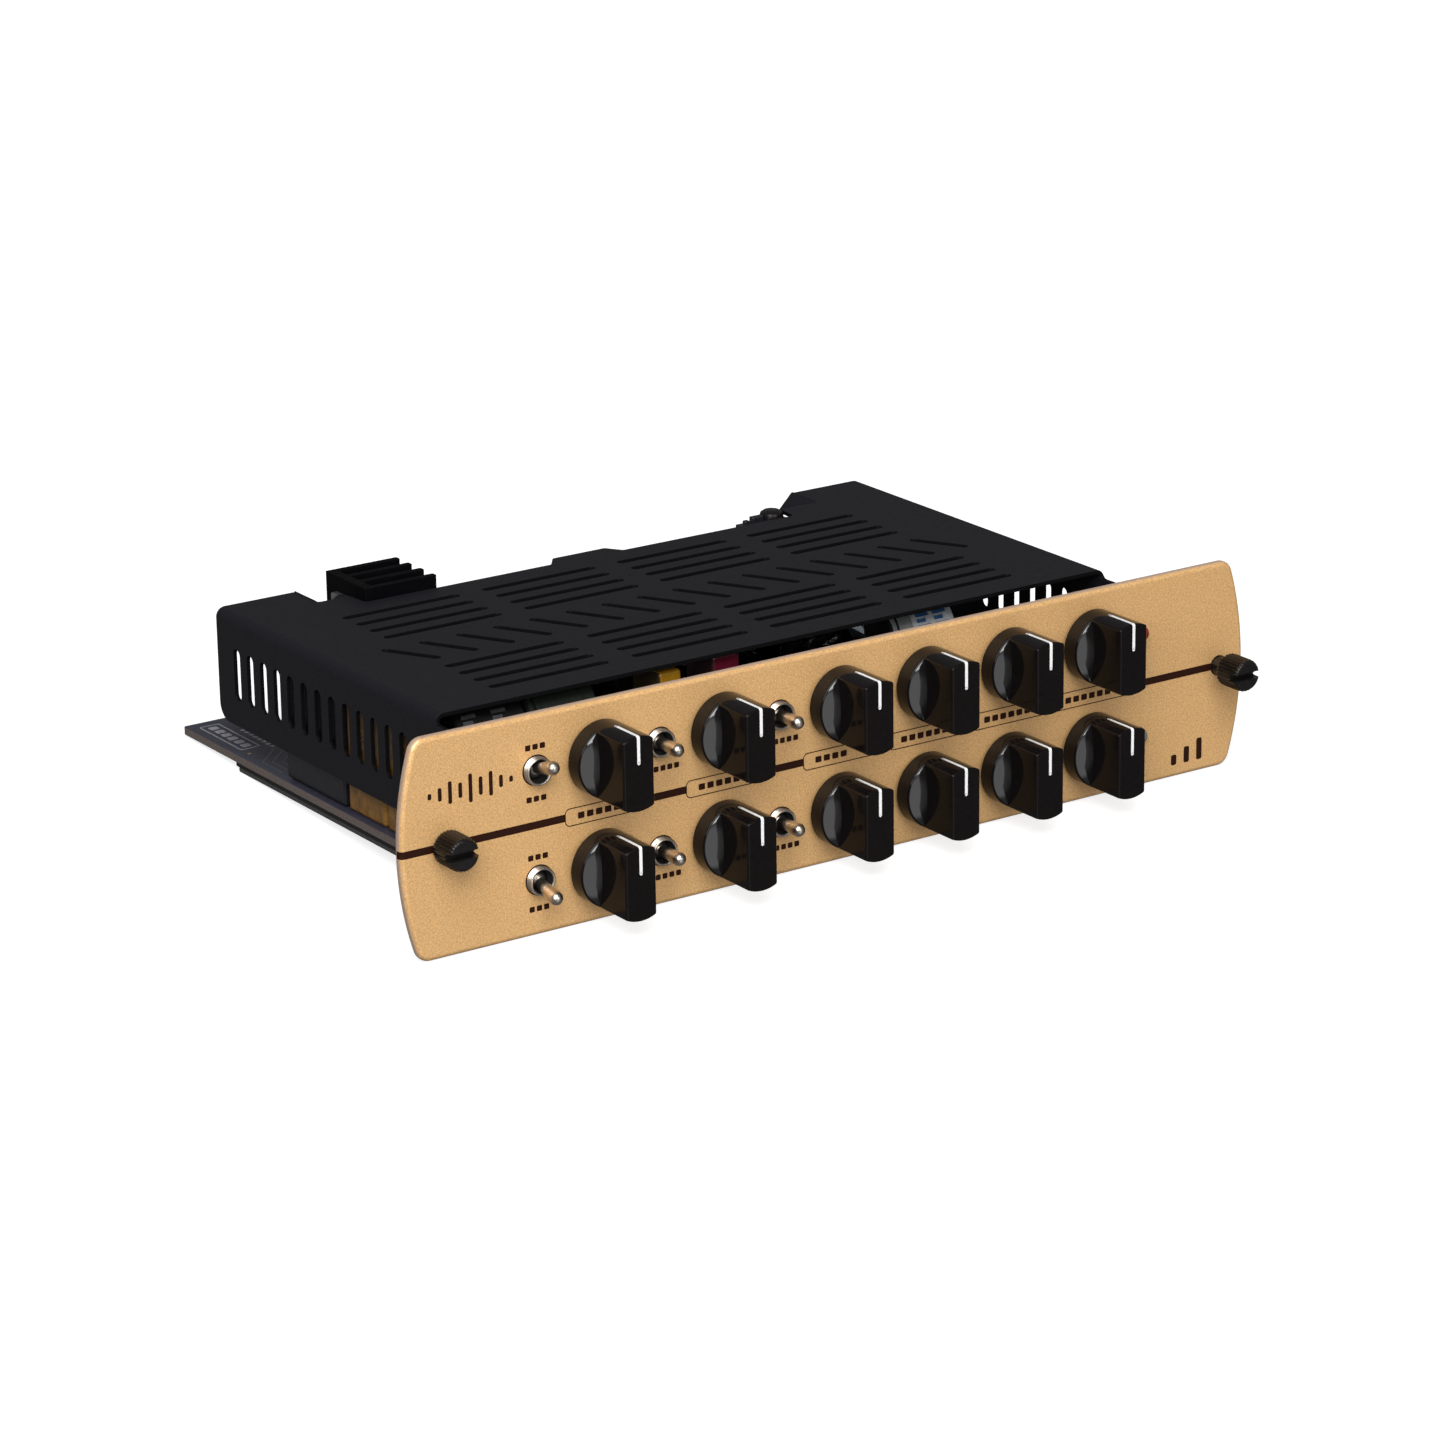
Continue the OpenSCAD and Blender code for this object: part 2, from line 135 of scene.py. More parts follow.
def vary_roughness(mat, value, low, high):
    spread = {"From Min": 0.3, "From Max": 0.7, "To Min": low, "To Max": high}
    node = add_node(mat.node_tree, "MapRange", **spread)
    mat.node_tree.links.new(value, node.inputs["Value"])
    wire(mat, node.outputs["Result"], "Roughness")


def bump(mat, value, height_mm):
    node = add_node(mat.node_tree, "Bump", Strength=1.0, Distance=height_mm * MM)
    mat.node_tree.links.new(value, node.inputs["Height"])
    wire(mat, node.outputs["Normal"], "Normal")


def textured(name, dark, light, rough, metallic=0.0, grain=1500, bump_mm=0.0, spread=0.2, spec=0.5,
             **extra):
    """A material whose colour and roughness wander with a fine grain; extra sets other sockets."""
    mat = bpy.data.materials.new(name)
    mat.use_nodes = True
    bsdf = mat.node_tree.nodes["Principled BSDF"]
    extra.update(Base_Color=(*light, 1), Roughness=rough[1], Metallic=metallic, Specular_IOR_Level=spec)
    for key, value in extra.items():
        bsdf.inputs[key.replace("_", " ")].default_value = value
    grain_value = noise(mat, grain)
    wire(mat, ramp(mat, grain_value, [(0.5 - spread, dark), (0.5 + spread, light)]), "Base Color")
    vary_roughness(mat, noise(mat, grain / 6), *rough)
    if bump_mm:
        bump(mat, grain_value, bump_mm)
    return mat


GOLD = textured("gold_paint", (0.48, 0.278, 0.108), (0.77, 0.462, 0.2), (0.38, 0.5), metallic=0.35,
                grain=3000, bump_mm=0.04, spread=0.18, Coat_Weight=0.18, Coat_Roughness=0.25)
GOLD_EDGE = textured("gold_edge", (0.42, 0.285, 0.2), (0.58, 0.41, 0.29), (0.35, 0.5), metallic=0.35,
                     grain=2600, bump_mm=0.02)
BLACK_COAT = textured("black_coat", (0.0028, 0.0025, 0.0038), (0.009, 0.0082, 0.0115), (0.5, 0.6),
                      grain=4200, bump_mm=0.02, spec=0.2)
# near-black for the cover sheet's slot walls and cut edges: painted shade in the slots
SLOT_SHADE = textured("slot_shade", (0.0015, 0.0015, 0.0018), (0.003, 0.003, 0.0034), (0.6, 0.75),
                     grain=2500, spec=0.08)
SHEET_EDGE = textured("sheet_edge", (0.03, 0.029, 0.028), (0.06, 0.058, 0.056), (0.45, 0.6), metallic=0.3,
                      grain=2500)
KNOB = textured("knob_plastic", (0.0042, 0.0034, 0.0034), (0.0056, 0.0046, 0.0046), (0.06, 0.11),
                grain=900, spec=0.12)
KNOB_POLISH = textured("knob_polished", (0.0042, 0.0036, 0.0038), (0.0056, 0.0048, 0.005), (0.05, 0.09),
                       grain=900, spec=0.95)
WHITE_PAINT = textured("white_paint", (0.62, 0.62, 0.62), (0.72, 0.72, 0.72), (0.45, 0.6), grain=3000)
# the dark print colour; also a painted shadow ring round each toggle collar
PRINT_AND_SHADOW = textured("panel_print_and_shadow", (0.012, 0.0025, 0.0008), (0.022, 0.005, 0.0018), (0.5, 0.65), grain=3000,
                 spec=0.12)
NICKEL = textured("nickel", (0.42, 0.37, 0.32), (0.56, 0.5, 0.44), (0.26, 0.36), metallic=1.0, grain=1200)
STEEL = textured("steel", (0.34, 0.34, 0.35), (0.48, 0.48, 0.49), (0.28, 0.42), metallic=1.0, grain=900)
BLACK_METAL = textured("black_metal", (0.003, 0.0026, 0.0026), (0.008, 0.0066, 0.0064), (0.26, 0.36),
                       grain=2200, bump_mm=0.01, spec=0.24)
BOARD_TOP = textured("board_top", (0.022, 0.022, 0.034), (0.034, 0.034, 0.05), (0.35, 0.45), grain=1400,
                     spec=0.3)
BOARD_EDGE = textured("board_edge", (0.06, 0.045, 0.04), (0.12, 0.095, 0.085), (0.55, 0.8), grain=2600,
                      bump_mm=0.02)
BOARD_GREEN = textured("board_green", (0.008, 0.022, 0.011), (0.014, 0.038, 0.018), (0.28, 0.4), grain=1400)
TRACK = textured("board_track", (0.04, 0.04, 0.058), (0.054, 0.054, 0.074), (0.3, 0.4), grain=1400)
# near-black for the sheet in the gap over the bottom plate: painted shade
GAP_SHADE = textured("insulator", (0.005, 0.005, 0.005), (0.01, 0.01, 0.01), (0.5, 0.7), spec=0.3)
ANODISED = textured("anodised", (0.0006, 0.0006, 0.0009), (0.0018, 0.0017, 0.0024), (0.5, 0.65),
                    grain=2600, bump_mm=0.01, spec=0.05)
MOULDED = textured("moulded_black", (0.005, 0.005, 0.007), (0.01, 0.01, 0.013), (0.25, 0.4), grain=1800,
                   bump_mm=0.005)
SWITCH_BLUE = textured("switch_case", (0.01, 0.022, 0.055), (0.016, 0.034, 0.085), (0.35, 0.5))
GOLD_PLATE = textured("gold_plate", (0.66, 0.42, 0.13), (0.86, 0.6, 0.24), (0.18, 0.3), metallic=1.0)
COPPER = textured("solder", (0.42, 0.42, 0.42), (0.6, 0.59, 0.58), (0.25, 0.4), metallic=1.0, grain=2500,
                  bump_mm=0.03)
BROWN_RESIN = textured("brown_resin", (0.1, 0.045, 0.008), (0.2, 0.1, 0.02), (0.18, 0.32), grain=500)
YELLOW_RESIN = textured("yellow_resin", (0.24, 0.115, 0.003), (0.32, 0.16, 0.005), (0.35, 0.5), grain=900)
RED_RESIN = textured("red_resin", (0.07, 0.004, 0.012), (0.105, 0.006, 0.018), (0.25, 0.4), grain=900)
SILVER_SLEEVE = textured("silver_sleeve", (0.36, 0.38, 0.4), (0.52, 0.54, 0.56), (0.3, 0.42),
                         metallic=0.25, grain=700)
GREY_SLEEVE = textured("grey_sleeve", (0.17, 0.18, 0.18), (0.24, 0.25, 0.25), (0.3, 0.42), metallic=0.25,
                       grain=700)
BLUE_PRINT = textured("blue_print", (0.02, 0.07, 0.18), (0.035, 0.1, 0.25), (0.35, 0.5))
GREY_PRINT = textured("grey_print", (0.16, 0.16, 0.175), (0.26, 0.26, 0.28), (0.4, 0.5))
BLACK_SLEEVE = textured("black_sleeve", (0.004, 0.004, 0.004), (0.008, 0.008, 0.008), (0.3, 0.45),
                        grain=900, spec=0.25)
DIM_PRINT = textured("dim_print", (0.04, 0.04, 0.045), (0.065, 0.065, 0.07), (0.4, 0.5))
RUBBER = textured("rubber_bung", (0.003, 0.003, 0.003), (0.006, 0.006, 0.006), (0.6, 0.8), spec=0.1)
# darker copies of the yellow and red resins for the boxes' left faces: painted shade
YELLOW_PAINTED_SHADE = textured("yellow_painted_shade", (0.018, 0.01, 0.002), (0.03, 0.017, 0.003), (0.5, 0.6), grain=900)
RED_PAINTED_SHADE = textured("red_painted_shade", (0.01, 0.001, 0.003), (0.018, 0.002, 0.005), (0.5, 0.6), grain=900)
GREEN_SLEEVE = textured("green_sleeve", (0.01, 0.013, 0.01), (0.02, 0.025, 0.019), (0.3, 0.45), grain=900,
                        spec=0.25)
CERAMIC = textured("ceramic", (0.5, 0.47, 0.42), (0.62, 0.59, 0.53), (0.25, 0.35), grain=900)
RESISTOR_BLUE = textured("resistor_blue", (0.1, 0.22, 0.34), (0.15, 0.3, 0.44), (0.25, 0.35))
BAND = textured("resistor_band", (0.22, 0.05, 0.02), (0.32, 0.09, 0.03), (0.3, 0.4))
# near-black lining for the toggle collars' bores: painted shade in the holes
BORE_SHADE = textured("bore_shade", (0.004, 0.004, 0.004), (0.008, 0.008, 0.008), (0.5, 0.7))
RED_LENS = textured("red_lens", (0.22, 0.008, 0.006), (0.34, 0.014, 0.01), (0.1, 0.18), grain=600,
                    Transmission_Weight=0.35, IOR=1.5)
GREY_LENS = textured("grey_lens", (0.13, 0.13, 0.14), (0.18, 0.18, 0.19), (0.18, 0.28), grain=600,
                     Transmission_Weight=0.2, IOR=1.5)
GLASS = textured("valve_glass", (0.3, 0.32, 0.33), (0.38, 0.4, 0.42), (0.02, 0.06), grain=150,
                 Transmission_Weight=1.0, IOR=1.12)
GETTER = textured("getter", (0.06, 0.06, 0.065), (0.1, 0.1, 0.105), (0.3, 0.45), metallic=0.6, grain=400)
MICA = textured("mica", (0.05, 0.048, 0.045), (0.08, 0.076, 0.07), (0.5, 0.7), grain=900)

# ---- mesh tools


def arc(cx, cy, r, start, end, steps):
    """Points on an arc, in radians, both ends included."""
    turns = [start + (end - start) * i / steps for i in range(steps + 1)]
    return [(cx + r * cos(t), cy + r * sin(t)) for t in turns]


def circle(cx, cy, r, steps=40):
    return arc(cx, cy, r, 0, 2 * PI, steps)[:-1]


def stadium(cx, cy, length, width, lean=0.0, steps=10):
    """A slot outline with round ends, leaning by an angle."""
    r, half = width / 2, (length - width) / 2
    points = arc(half, 0, r, -PI / 2, PI / 2, steps) + arc(-half, 0, r, PI / 2, 3 * PI / 2, steps)
    c, s = cos(lean), sin(lean)
    return [(cx + x * c - y * s, cy + x * s + y * c) for x, y in points]


def rounded(points, r, steps=5):
    """The polygon with each corner rounded to radius r, or as much as fits."""
    out = []
    for i, p in enumerate(points):
        p, a, b = Vector(p[:2]), Vector(points[i - 1][:2]), Vector(points[(i + 1) % len(points)][:2])
        to_a, to_b = (a - p), (b - p)
        half = to_a.angle(to_b) / 2
        cut = min(r / tan(half), 0.45 * min(to_a.length, to_b.length))
        r_here = cut * tan(half)
        centre = p + (to_a.normalized() + to_b.normalized()).normalized() * (r_here / sin(half))
        start, end = p + to_a.normalized() * cut - centre, p + to_b.normalized() * cut - centre
        swing = atan2(start.cross(end), start.dot(end))
        first = atan2(start.y, start.x)
        out += arc(centre.x, centre.y, r_here, first, first + swing, steps)
    return out


def rectangle(x0, x1, y0, y1, r=0.0):
    points = [(x0, y0), (x1, y0), (x1, y1), (x0, y1)]
    return rounded(points, r) if r else points


def evaluated(obj):
    """The mesh of an object with its modifiers, and the object removed."""
    scene.collection.objects.link(obj)
    graph = bpy.context.evaluated_depsgraph_get()
    mesh = bpy.data.meshes.new_from_object(obj.evaluated_get(graph))
    bpy.data.objects.remove(obj)
    return mesh


def plate(loops, thickness, edge=0.2, steps=3):
    """A flat plate in X and Y centred on Z, with rounded edges; the first loop is the outline."""
    curve = bpy.data.curves.new("plate", "CURVE")
    curve.dimensions = "2D"
    curve.fill_mode = "BOTH"
    curve.extrude = thickness / 2 - edge
    curve.bevel_depth = edge
    curve.bevel_resolution = steps
    curve.offset = -edge
    for loop in loops:
        spline = curve.splines.new("POLY")
        spline.points.add(len(loop) - 1)
        for point, (x, y) in zip(spline.points, loop):
            point.co = (x, y, 0, 1)
        spline.use_cyclic_u = True
    return evaluated(bpy.data.objects.new("plate", curve))


def from_rings(rings, closed=False):
    """A mesh that joins equal rings of points; closed joins the last ring to the first."""
    bm = bmesh.new()
    loops = [[bm.verts.new(p) for p in ring] for ring in rings]
    pairs = list(zip(loops, loops[1:])) + ([(loops[-1], loops[0])] if closed else [])
    for a, b in pairs:
        for i in range(len(a)):
            j = (i + 1) % len(a)
            bm.faces.new((a[i], a[j], b[j], b[i]))
    if not closed:
        bm.faces.new(reversed(loops[0]))
        bm.faces.new(loops[-1])
    bmesh.ops.recalc_face_normals(bm, faces=bm.faces)
    mesh = bpy.data.meshes.new("rings")
    bm.to_mesh(mesh)
    bm.free()
    return mesh


def lathe(profile, steps=48, closed=False):
    """Turns a profile of (radius, height) points about Z."""
    rings = []
    for r, h in profile:
        rings.append([(*p, h) for p in circle(0, 0, max(r, 0.0005), steps)])
    return from_rings(rings, closed)


def bar(r, start, end, steps=40):
    """A round bar along Z."""
    return lathe([(r, start), (r, end)], steps)


def disc(r, start, end, steps):
    return lathe([(0, start), (r, start), (r, end), (0, end)], steps)


def tube(inner, outer, start, end, steps=48):
    return lathe([(inner, start), (outer, start), (outer, end), (inner, end)], steps, closed=True)


def cut(mesh, cutter):
    """The mesh with the cutter's volume taken away."""
    body, tool = bpy.data.objects.new("cut_body", mesh), bpy.data.objects.new("cut_tool", cutter)
    scene.collection.objects.link(tool)
    mod = body.modifiers.new("cut", "BOOLEAN")
    mod.operation = "DIFFERENCE"
    mod.solver = "EXACT"
    mod.object = tool
    mesh = evaluated(body)
    bpy.data.objects.remove(tool)
    return mesh


def joined(meshes):
    """Several (mesh, matrix) pairs as one mesh."""
    bm = bmesh.new()
    for mesh, matrix in meshes:
        start = len(bm.verts)
        bm.from_mesh(mesh)
        bm.verts.ensure_lookup_table()
        bmesh.ops.transform(bm, matrix=matrix, verts=bm.verts[start:])
    out = bpy.data.meshes.new("joined")
    bm.to_mesh(out)
    bm.free()
    return out


def at(x=0.0, y=0.0, z=0.0):
    return Matrix.Translation((x, y, z))


# What local Z becomes: -Y, so that a plate or lathe faces the front, then +Y and +X
TO_FRONT = Matrix.Rotation(PI / 2, 4, "X")
TO_BACK = Matrix.Rotation(-PI / 2, 4, "X")
TO_RIGHT = Matrix.Rotation(PI / 2, 4, "Y")
IDENTITY = Matrix.Identity(4)


class Piece:
    """Gathers meshes in millimetres, each with its material, into one object."""

    def __init__(self, name, body="chassis"):
        self.name, self.body = name, body
        self.bm = bmesh.new()
        self.materials = []

    def add(self, mesh, matrix, material):
        if material not in self.materials:
            self.materials.append(material)
        index = self.materials.index(material)
        verts, faces = len(self.bm.verts), len(self.bm.faces)
        self.bm.from_mesh(mesh)
        self.bm.verts.ensure_lookup_table()
        self.bm.faces.ensure_lookup_table()
        bmesh.ops.transform(self.bm, matrix=matrix, verts=self.bm.verts[verts:])
        for face in self.bm.faces[faces:]:
            face.material_index = index
        return self

    def repaint(self, first_face, material, wanted):
        """Gives the faces added since first_face another material where wanted(face) holds."""
        if material not in self.materials:
            self.materials.append(material)
        self.bm.normal_update()
        self.bm.faces.ensure_lookup_table()
        for face in self.bm.faces[first_face:]:
            if wanted(face):
                face.material_index = self.materials.index(material)

    def box(self, x, y, z, material, r=0.3):
        """A box between two limits on each axis, with rounded edges."""
        mesh = plate([rectangle(x[0], x[1], y[0], y[1], r)], z[1] - z[0], min(r, 0.45 * (z[1] - z[0])))
        return self.add(mesh, at(0, 0, (z[0] + z[1]) / 2), material)

    def make(self, slot, *nodes, smooth=35):
        mesh = bpy.data.meshes.new(self.name)
        bmesh.ops.scale(self.bm, vec=(MM, MM, MM), verts=self.bm.verts)
        self.bm.to_mesh(mesh)
        self.bm.free()
        mesh.shade_smooth()
        mesh.set_sharp_from_angle(angle=radians(smooth))
        for material in self.materials:
            mesh.materials.append(material)
        obj = bpy.data.objects.new(self.name, mesh)
        scene.collection.objects.link(obj)
        weighted = obj.modifiers.new("normals", "WEIGHTED_NORMAL")
        weighted.keep_sharp = True
        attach(obj, self.body)
        if nodes:
            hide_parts(*nodes)
        return obj


def ribbon(path, width_axis, width, thickness):
    """A thin strip along a path of (point, outward normal) pairs."""
    rings = []
    side = Vector(width_axis) * (width / 2)
    for point, normal in path:
        p, n = Vector(point), Vector(normal) * thickness
        rings.append([p - side, p + side, p + side + n, p - side + n])
    return from_rings(rings)


# ---- panel

panel_lo, panel_hi = span("front_panel")
FACE_Y = panel_lo.y
PANEL_T = panel_hi.y - panel_lo.y
HALF_W, HALF_H = (panel_hi.x - panel_lo.x) / 2, (panel_hi.z - panel_lo.z) / 2
END_BOW, CORNER_R, PANEL_EDGE = 3.7, 3.0, 0.95
KNOBS = [(row, i, middle(f"knob_{row}_{i}")) for row in ("upper", "lower") for i in range(1, 7)]
TOGGLES = ["voice_upper", "voice_lower", "bright_1_upper", "bright_1_lower",
           "bright_2_upper", "bright_2_lower"]
REST_TILT = {"voice_upper": 15, "voice_lower": -15}
ROW_Z = KNOBS[0][2].z
PRINT_T = 0.03


def toggle_place(name):
    """The x and z of a toggle's axis on the panel."""
    return middle("lever_" + name).x, copysign(ROW_Z, middle("lever_" + name).z)


def panel_outline():
    bow_r = (HALF_H ** 2 + END_BOW ** 2) / (2 * END_BOW)
    bow_x = HALF_W - bow_r
    cz = HALF_H - CORNER_R
    cx = bow_x + sqrt((bow_r - CORNER_R) ** 2 - cz ** 2)
    lean = atan2(cz, cx - bow_x)
    quarter = arc(bow_x, 0, bow_r, 0, lean, 16) + arc(cx, cz, CORNER_R, lean, PI / 2, 10)[1:]
    upper = quarter + [(-x, z) for x, z in reversed(quarter)]
    return upper + [(x, -z) for x, z in reversed(upper)][1:-1]


KNOB_HOLE_R, TOGGLE_HOLE_R, LAMP_HOLE_R, SCREW_HOLE_R = 3.5, 2.98, 1.75, 2.15


def make_panel():
    piece = Piece("front_panel_plate")
    slab = plate([panel_outline()], PANEL_T, PANEL_EDGE, steps=5)
    holes = [(c.x, c.z, KNOB_HOLE_R) for _, _, c in KNOBS]
    holes += [(*toggle_place(name), TOGGLE_HOLE_R) for name in TOGGLES]
    holes += [(middle(n).x, middle(n).z, LAMP_HOLE_R) for n in ("lamp_red", "lamp_grey")]
    holes += [(middle(n).x, 0, SCREW_HOLE_R) for n in ("thumbscrew_left", "thumbscrew_right")]
    drills = [(bar(r, -4, 4), at(x, z)) for x, z, r in holes]
    piece.add(cut(slab, joined(drills)), at(0, FACE_Y / 2) @ TO_FRONT, GOLD)
    piece.repaint(0, GOLD_EDGE, lambda f: abs(f.normal.y) < 0.5)
    piece.make("gold_panel", "front_panel")


STRIPE_Z, STRIPE_H = 0.08, 1.5
FRAME_H, FRAME_R, FRAME_LINE, FRAME_W = 3.6, 1.1, 0.2, 19.5
# left end of each label frame, and how many dashes stand for its label
FRAMES = [(-64.3, 5), (-37.05, 5), (-9.9, 4), (10.6, 6), (30.9, 6), (51.2, 6)]
LABEL_INSET = 2.9
# first bar's x, pitch, half width, corner radius, height of the marks' middle or foot, bar heights
WAVE_X, WAVE_PITCH, WAVE_HALF, WAVE_R, WAVE_Z = -93.4, 2.2, 0.4, 0.38, 10.3
WAVE_HEIGHTS = [1.2, 2.6, 4.4, 3.0, 5.6, 3.6, 4.8, 2.4, 1.2]
LEVEL_X, LEVEL_PITCH, LEVEL_HALF, LEVEL_R, LEVEL_Z = 82.2, 3.3, 0.7, 0.4, -19.2
LEVEL_HEIGHTS = [2.2, 3.4, 4.6]


def on_face(x=0.0, z=0.0):
    """Puts a mark drawn in X and Y on the panel's face."""
    return at(x, FACE_Y - PRINT_T / 2 + 0.005, z) @ TO_FRONT


def mark(piece, *loops):
    piece.add(plate(loops, PRINT_T, 0.004, 1), on_face(), PRINT_AND_SHADOW)


def label_frame(piece, x0, x1):
    """A printed rounded frame round a label."""
    half, line = FRAME_H / 2, FRAME_LINE
    outer = rectangle(x0, x1, -half, half, FRAME_R)
    inner = rectangle(x0 + line, x1 - line, line - half, half - line, FRAME_R - line)
    mark(piece, outer, inner)


def dashes(piece, left, z, count, pitch, height):
    """A row of plain dashes in place of a label, one for each letter."""
    for k in range(count):
        x = left + k * pitch
        mark(piece, rectangle(x, x + 0.72 * pitch, z - height / 2, z + height / 2, 0.2))


def stripe(piece, x0, x1):
    mark(piece, rectangle(x0, x1, STRIPE_Z - STRIPE_H / 2, STRIPE_Z + STRIPE_H / 2))


def stripe_end(piece, side):
    """The stripe where it goes round the panel's edge."""
    path = []
    centre = Vector((side * (HALF_W - PANEL_EDGE), FACE_Y + PANEL_EDGE, STRIPE_Z))
    for i in range(9):
        t = PI / 2 * i / 8
        normal = Vector((side * sin(t), -cos(t), 0))
        path.append((centre + normal * (PANEL_EDGE - 0.01), normal))
    path.append((Vector((side * (HALF_W - 0.01), -PANEL_EDGE, STRIPE_Z)), Vector((side, 0, 0))))
    piece.add(ribbon(path, (0, 0, 1), STRIPE_H, 0.02), IDENTITY, PRINT_AND_SHADOW)


def make_print():
    """The stripe with its frames, dashes for the labels, and two generic bar marks."""
    piece = Piece("panel_printing")
    left = PANEL_EDGE - HALF_W
    for x, letters in FRAMES:
        stripe(piece, left, x + 0.1)
        label_frame(piece, x, x + FRAME_W)
        dashes(piece, x + LABEL_INSET, 0, letters, 2.0, 1.25)
        left = x + FRAME_W - 0.1
    stripe(piece, left, HALF_W - PANEL_EDGE)
    for side in (-1, 1):
        stripe_end(piece, side)
    for name in TOGGLES:
        x, z = toggle_place(name)
        if name.startswith("voice"):
            dashes(piece, x - 2.3, z + 4.6, 3, 1.6, 1.1)
            dashes(piece, x - 2.3, z - 5.6, 3, 1.6, 1.1)
        else:
            dashes(piece, x - 4.5, z - 5.3, 6, 1.55, 1.1)
    for k, height in enumerate(WAVE_HEIGHTS):
        x = WAVE_X + WAVE_PITCH * k
        half = height / 2
        mark(piece, rectangle(x - WAVE_HALF, x + WAVE_HALF, WAVE_Z - half, WAVE_Z + half, WAVE_R))
    for k, height in enumerate(LEVEL_HEIGHTS):
        x = LEVEL_X + LEVEL_PITCH * k
        mark(piece, rectangle(x - LEVEL_HALF, x + LEVEL_HALF, LEVEL_Z, LEVEL_Z + height, LEVEL_R))
    piece.make("gold_panel")


# ---- knobs

KNOB_FRONT = FACE_Y - span("knob_upper_1")[0].y
KNOB_R = (span("knob_upper_1")[1].x - span("knob_upper_1")[0].x) / 2
SKIRT_H, SKIRT_DOME, GRIP_HALF = 4.3, 1.3, 3.4
LINE_W, LINE_T, LINE_END_Z, LINE_BACK = 0.66, 0.03, 1.8, 5.9
DOME_R = (KNOB_R ** 2 + SKIRT_DOME ** 2) / (2 * SKIRT_DOME)


def dome_height(r):
    """Height of the skirt's domed front at a radius."""
    return SKIRT_H + SKIRT_DOME - DOME_R + sqrt(DOME_R ** 2 - r ** 2)


def grip_outline(half, r, corner, steps=14):
    """Flat sides and round ends, with slightly rounded corners."""
    cx = half - corner
    cz = sqrt((r - corner) ** 2 - cx ** 2)
    lean = atan2(cz, cx)
    right = arc(cx, cz, corner, 0, lean, 4) + arc(0, 0, r, lean, PI - lean, steps)[1:-1]
    left = arc(-cx, cz, corner, PI - lean, PI, 4)
    top = right + left
    return top + [(-x, -z) for x, z in top]


def knob_grip():
    """The upright bar, with a rounded rim at the front."""
    rim = 0.45
    levels = [(3.5, 0.0)]
    for i in range(6):
        t = PI / 2 * i / 5
        levels.append((KNOB_FRONT - rim + rim * sin(t), rim * (1 - cos(t))))
    rings = []
    for height, inset in levels:
        ring = grip_outline(GRIP_HALF - inset, KNOB_R - inset, max(0.5 - inset, 0.12))
        rings.append([(x, z, height) for x, z in ring])
    return from_rings(rings)


def knob_skirt():
    """The hollow round skirt with a slightly domed front."""
    r, rim = KNOB_R - 0.03, 0.45
    lean = asin((r - rim) / DOME_R)
    edge_h = dome_height(r - rim) - rim
    edge = [(r - rim + rim * cos(t), edge_h + rim * sin(t))
            for t in [(PI / 2 - lean) * k / 5 for k in range(6)]]
    dome = [(x, dome_height(x)) for x in (6.2, 5.2, 4.2, 3.05)]
    back = [(3.05, 3.4), (6.2, 3.4), (6.2, 0.5), (r - 0.2, 0.5), (r, 0.7)]
    return lathe(back + edge + dome, 96, closed=True)


def knob_line():
    """The painted pointer: along the top of the bar, then down its front."""
    rim = 0.45
    path = [((0, KNOB_R, LINE_BACK), (0, 1, 0))]
    for i in range(6):
        t = PI / 2 * i / 5
        normal = (0, cos(t), sin(t))
        path.append(((0, KNOB_R - rim + rim * cos(t), KNOB_FRONT - rim + rim * sin(t)), normal))
    path.append(((0, LINE_END_Z + LINE_W / 2, KNOB_FRONT), (0, 0, 1)))
    path = [(Vector(p) - Vector(n) * 0.01, n) for p, n in path]
    strip = ribbon(path, (1, 0, 0), LINE_W, LINE_T)
    cap = plate([circle(0, 0, LINE_W / 2, 20)], LINE_T, 0.004, 1)
    front = at(0, LINE_END_Z + LINE_W / 2, KNOB_FRONT - 0.01 + LINE_T / 2)
    back = at(0, KNOB_R - 0.01 + LINE_T / 2, LINE_BACK) @ TO_FRONT
    return joined([(strip, IDENTITY), (cap, front), (cap, back)])


def make_knobs():
    grip, skirt, line = knob_grip(), knob_skirt(), knob_line()
    for row, i, centre in KNOBS:
        place = at(centre.x, FACE_Y, centre.z) @ TO_FRONT
        piece = Piece(f"knob_{row}_{i}_cap", f"knob_{row}_{i}")
        piece.add(grip, place, KNOB)
        first = len(piece.bm.faces)
        piece.add(skirt, place, KNOB)
        piece.repaint(first, KNOB_POLISH, lambda f: f.normal.y < -0.93)
        piece.add(line, place, WHITE_PAINT)
        piece.make("knob_black", f"knob_{row}_{i}", smooth=40)


def make_shafts():
    """Serrated shafts with a bevelled end."""
    r, knurl, points = 3.0, 5, 72
    for row, i, centre in KNOBS:
        lo, hi = span(f"shaft_{row}_{i}")
        length = hi.y - lo.y
        rings = []
        for height, inset in ((0, 0.3), (0.3, 0), (length - knurl, 0), (length - knurl + 0.1, 0),
                              (length - 0.4, 0), (length, 0.4)):
            valley = 0.985 if height > length - knurl else 1.0
            rings.append([])
            for k in range(points):
                a, t = (valley if k % 2 else 1.0) * (r - inset), 2 * PI * k / points
                rings[-1].append((a * cos(t), a * sin(t), height))
        place = at(centre.x, hi.y, centre.z) @ TO_FRONT
        piece = Piece(f"shaft_{row}_{i}_turned", f"knob_{row}_{i}").add(from_rings(rings), place, STEEL)
        piece.make("plain_metal", f"shaft_{row}_{i}")


# ---- toggles and lamps

PIVOT_DEPTH, LEVER_LEN, LEVER_TIP_R = 1.5, 7.5, 1.35


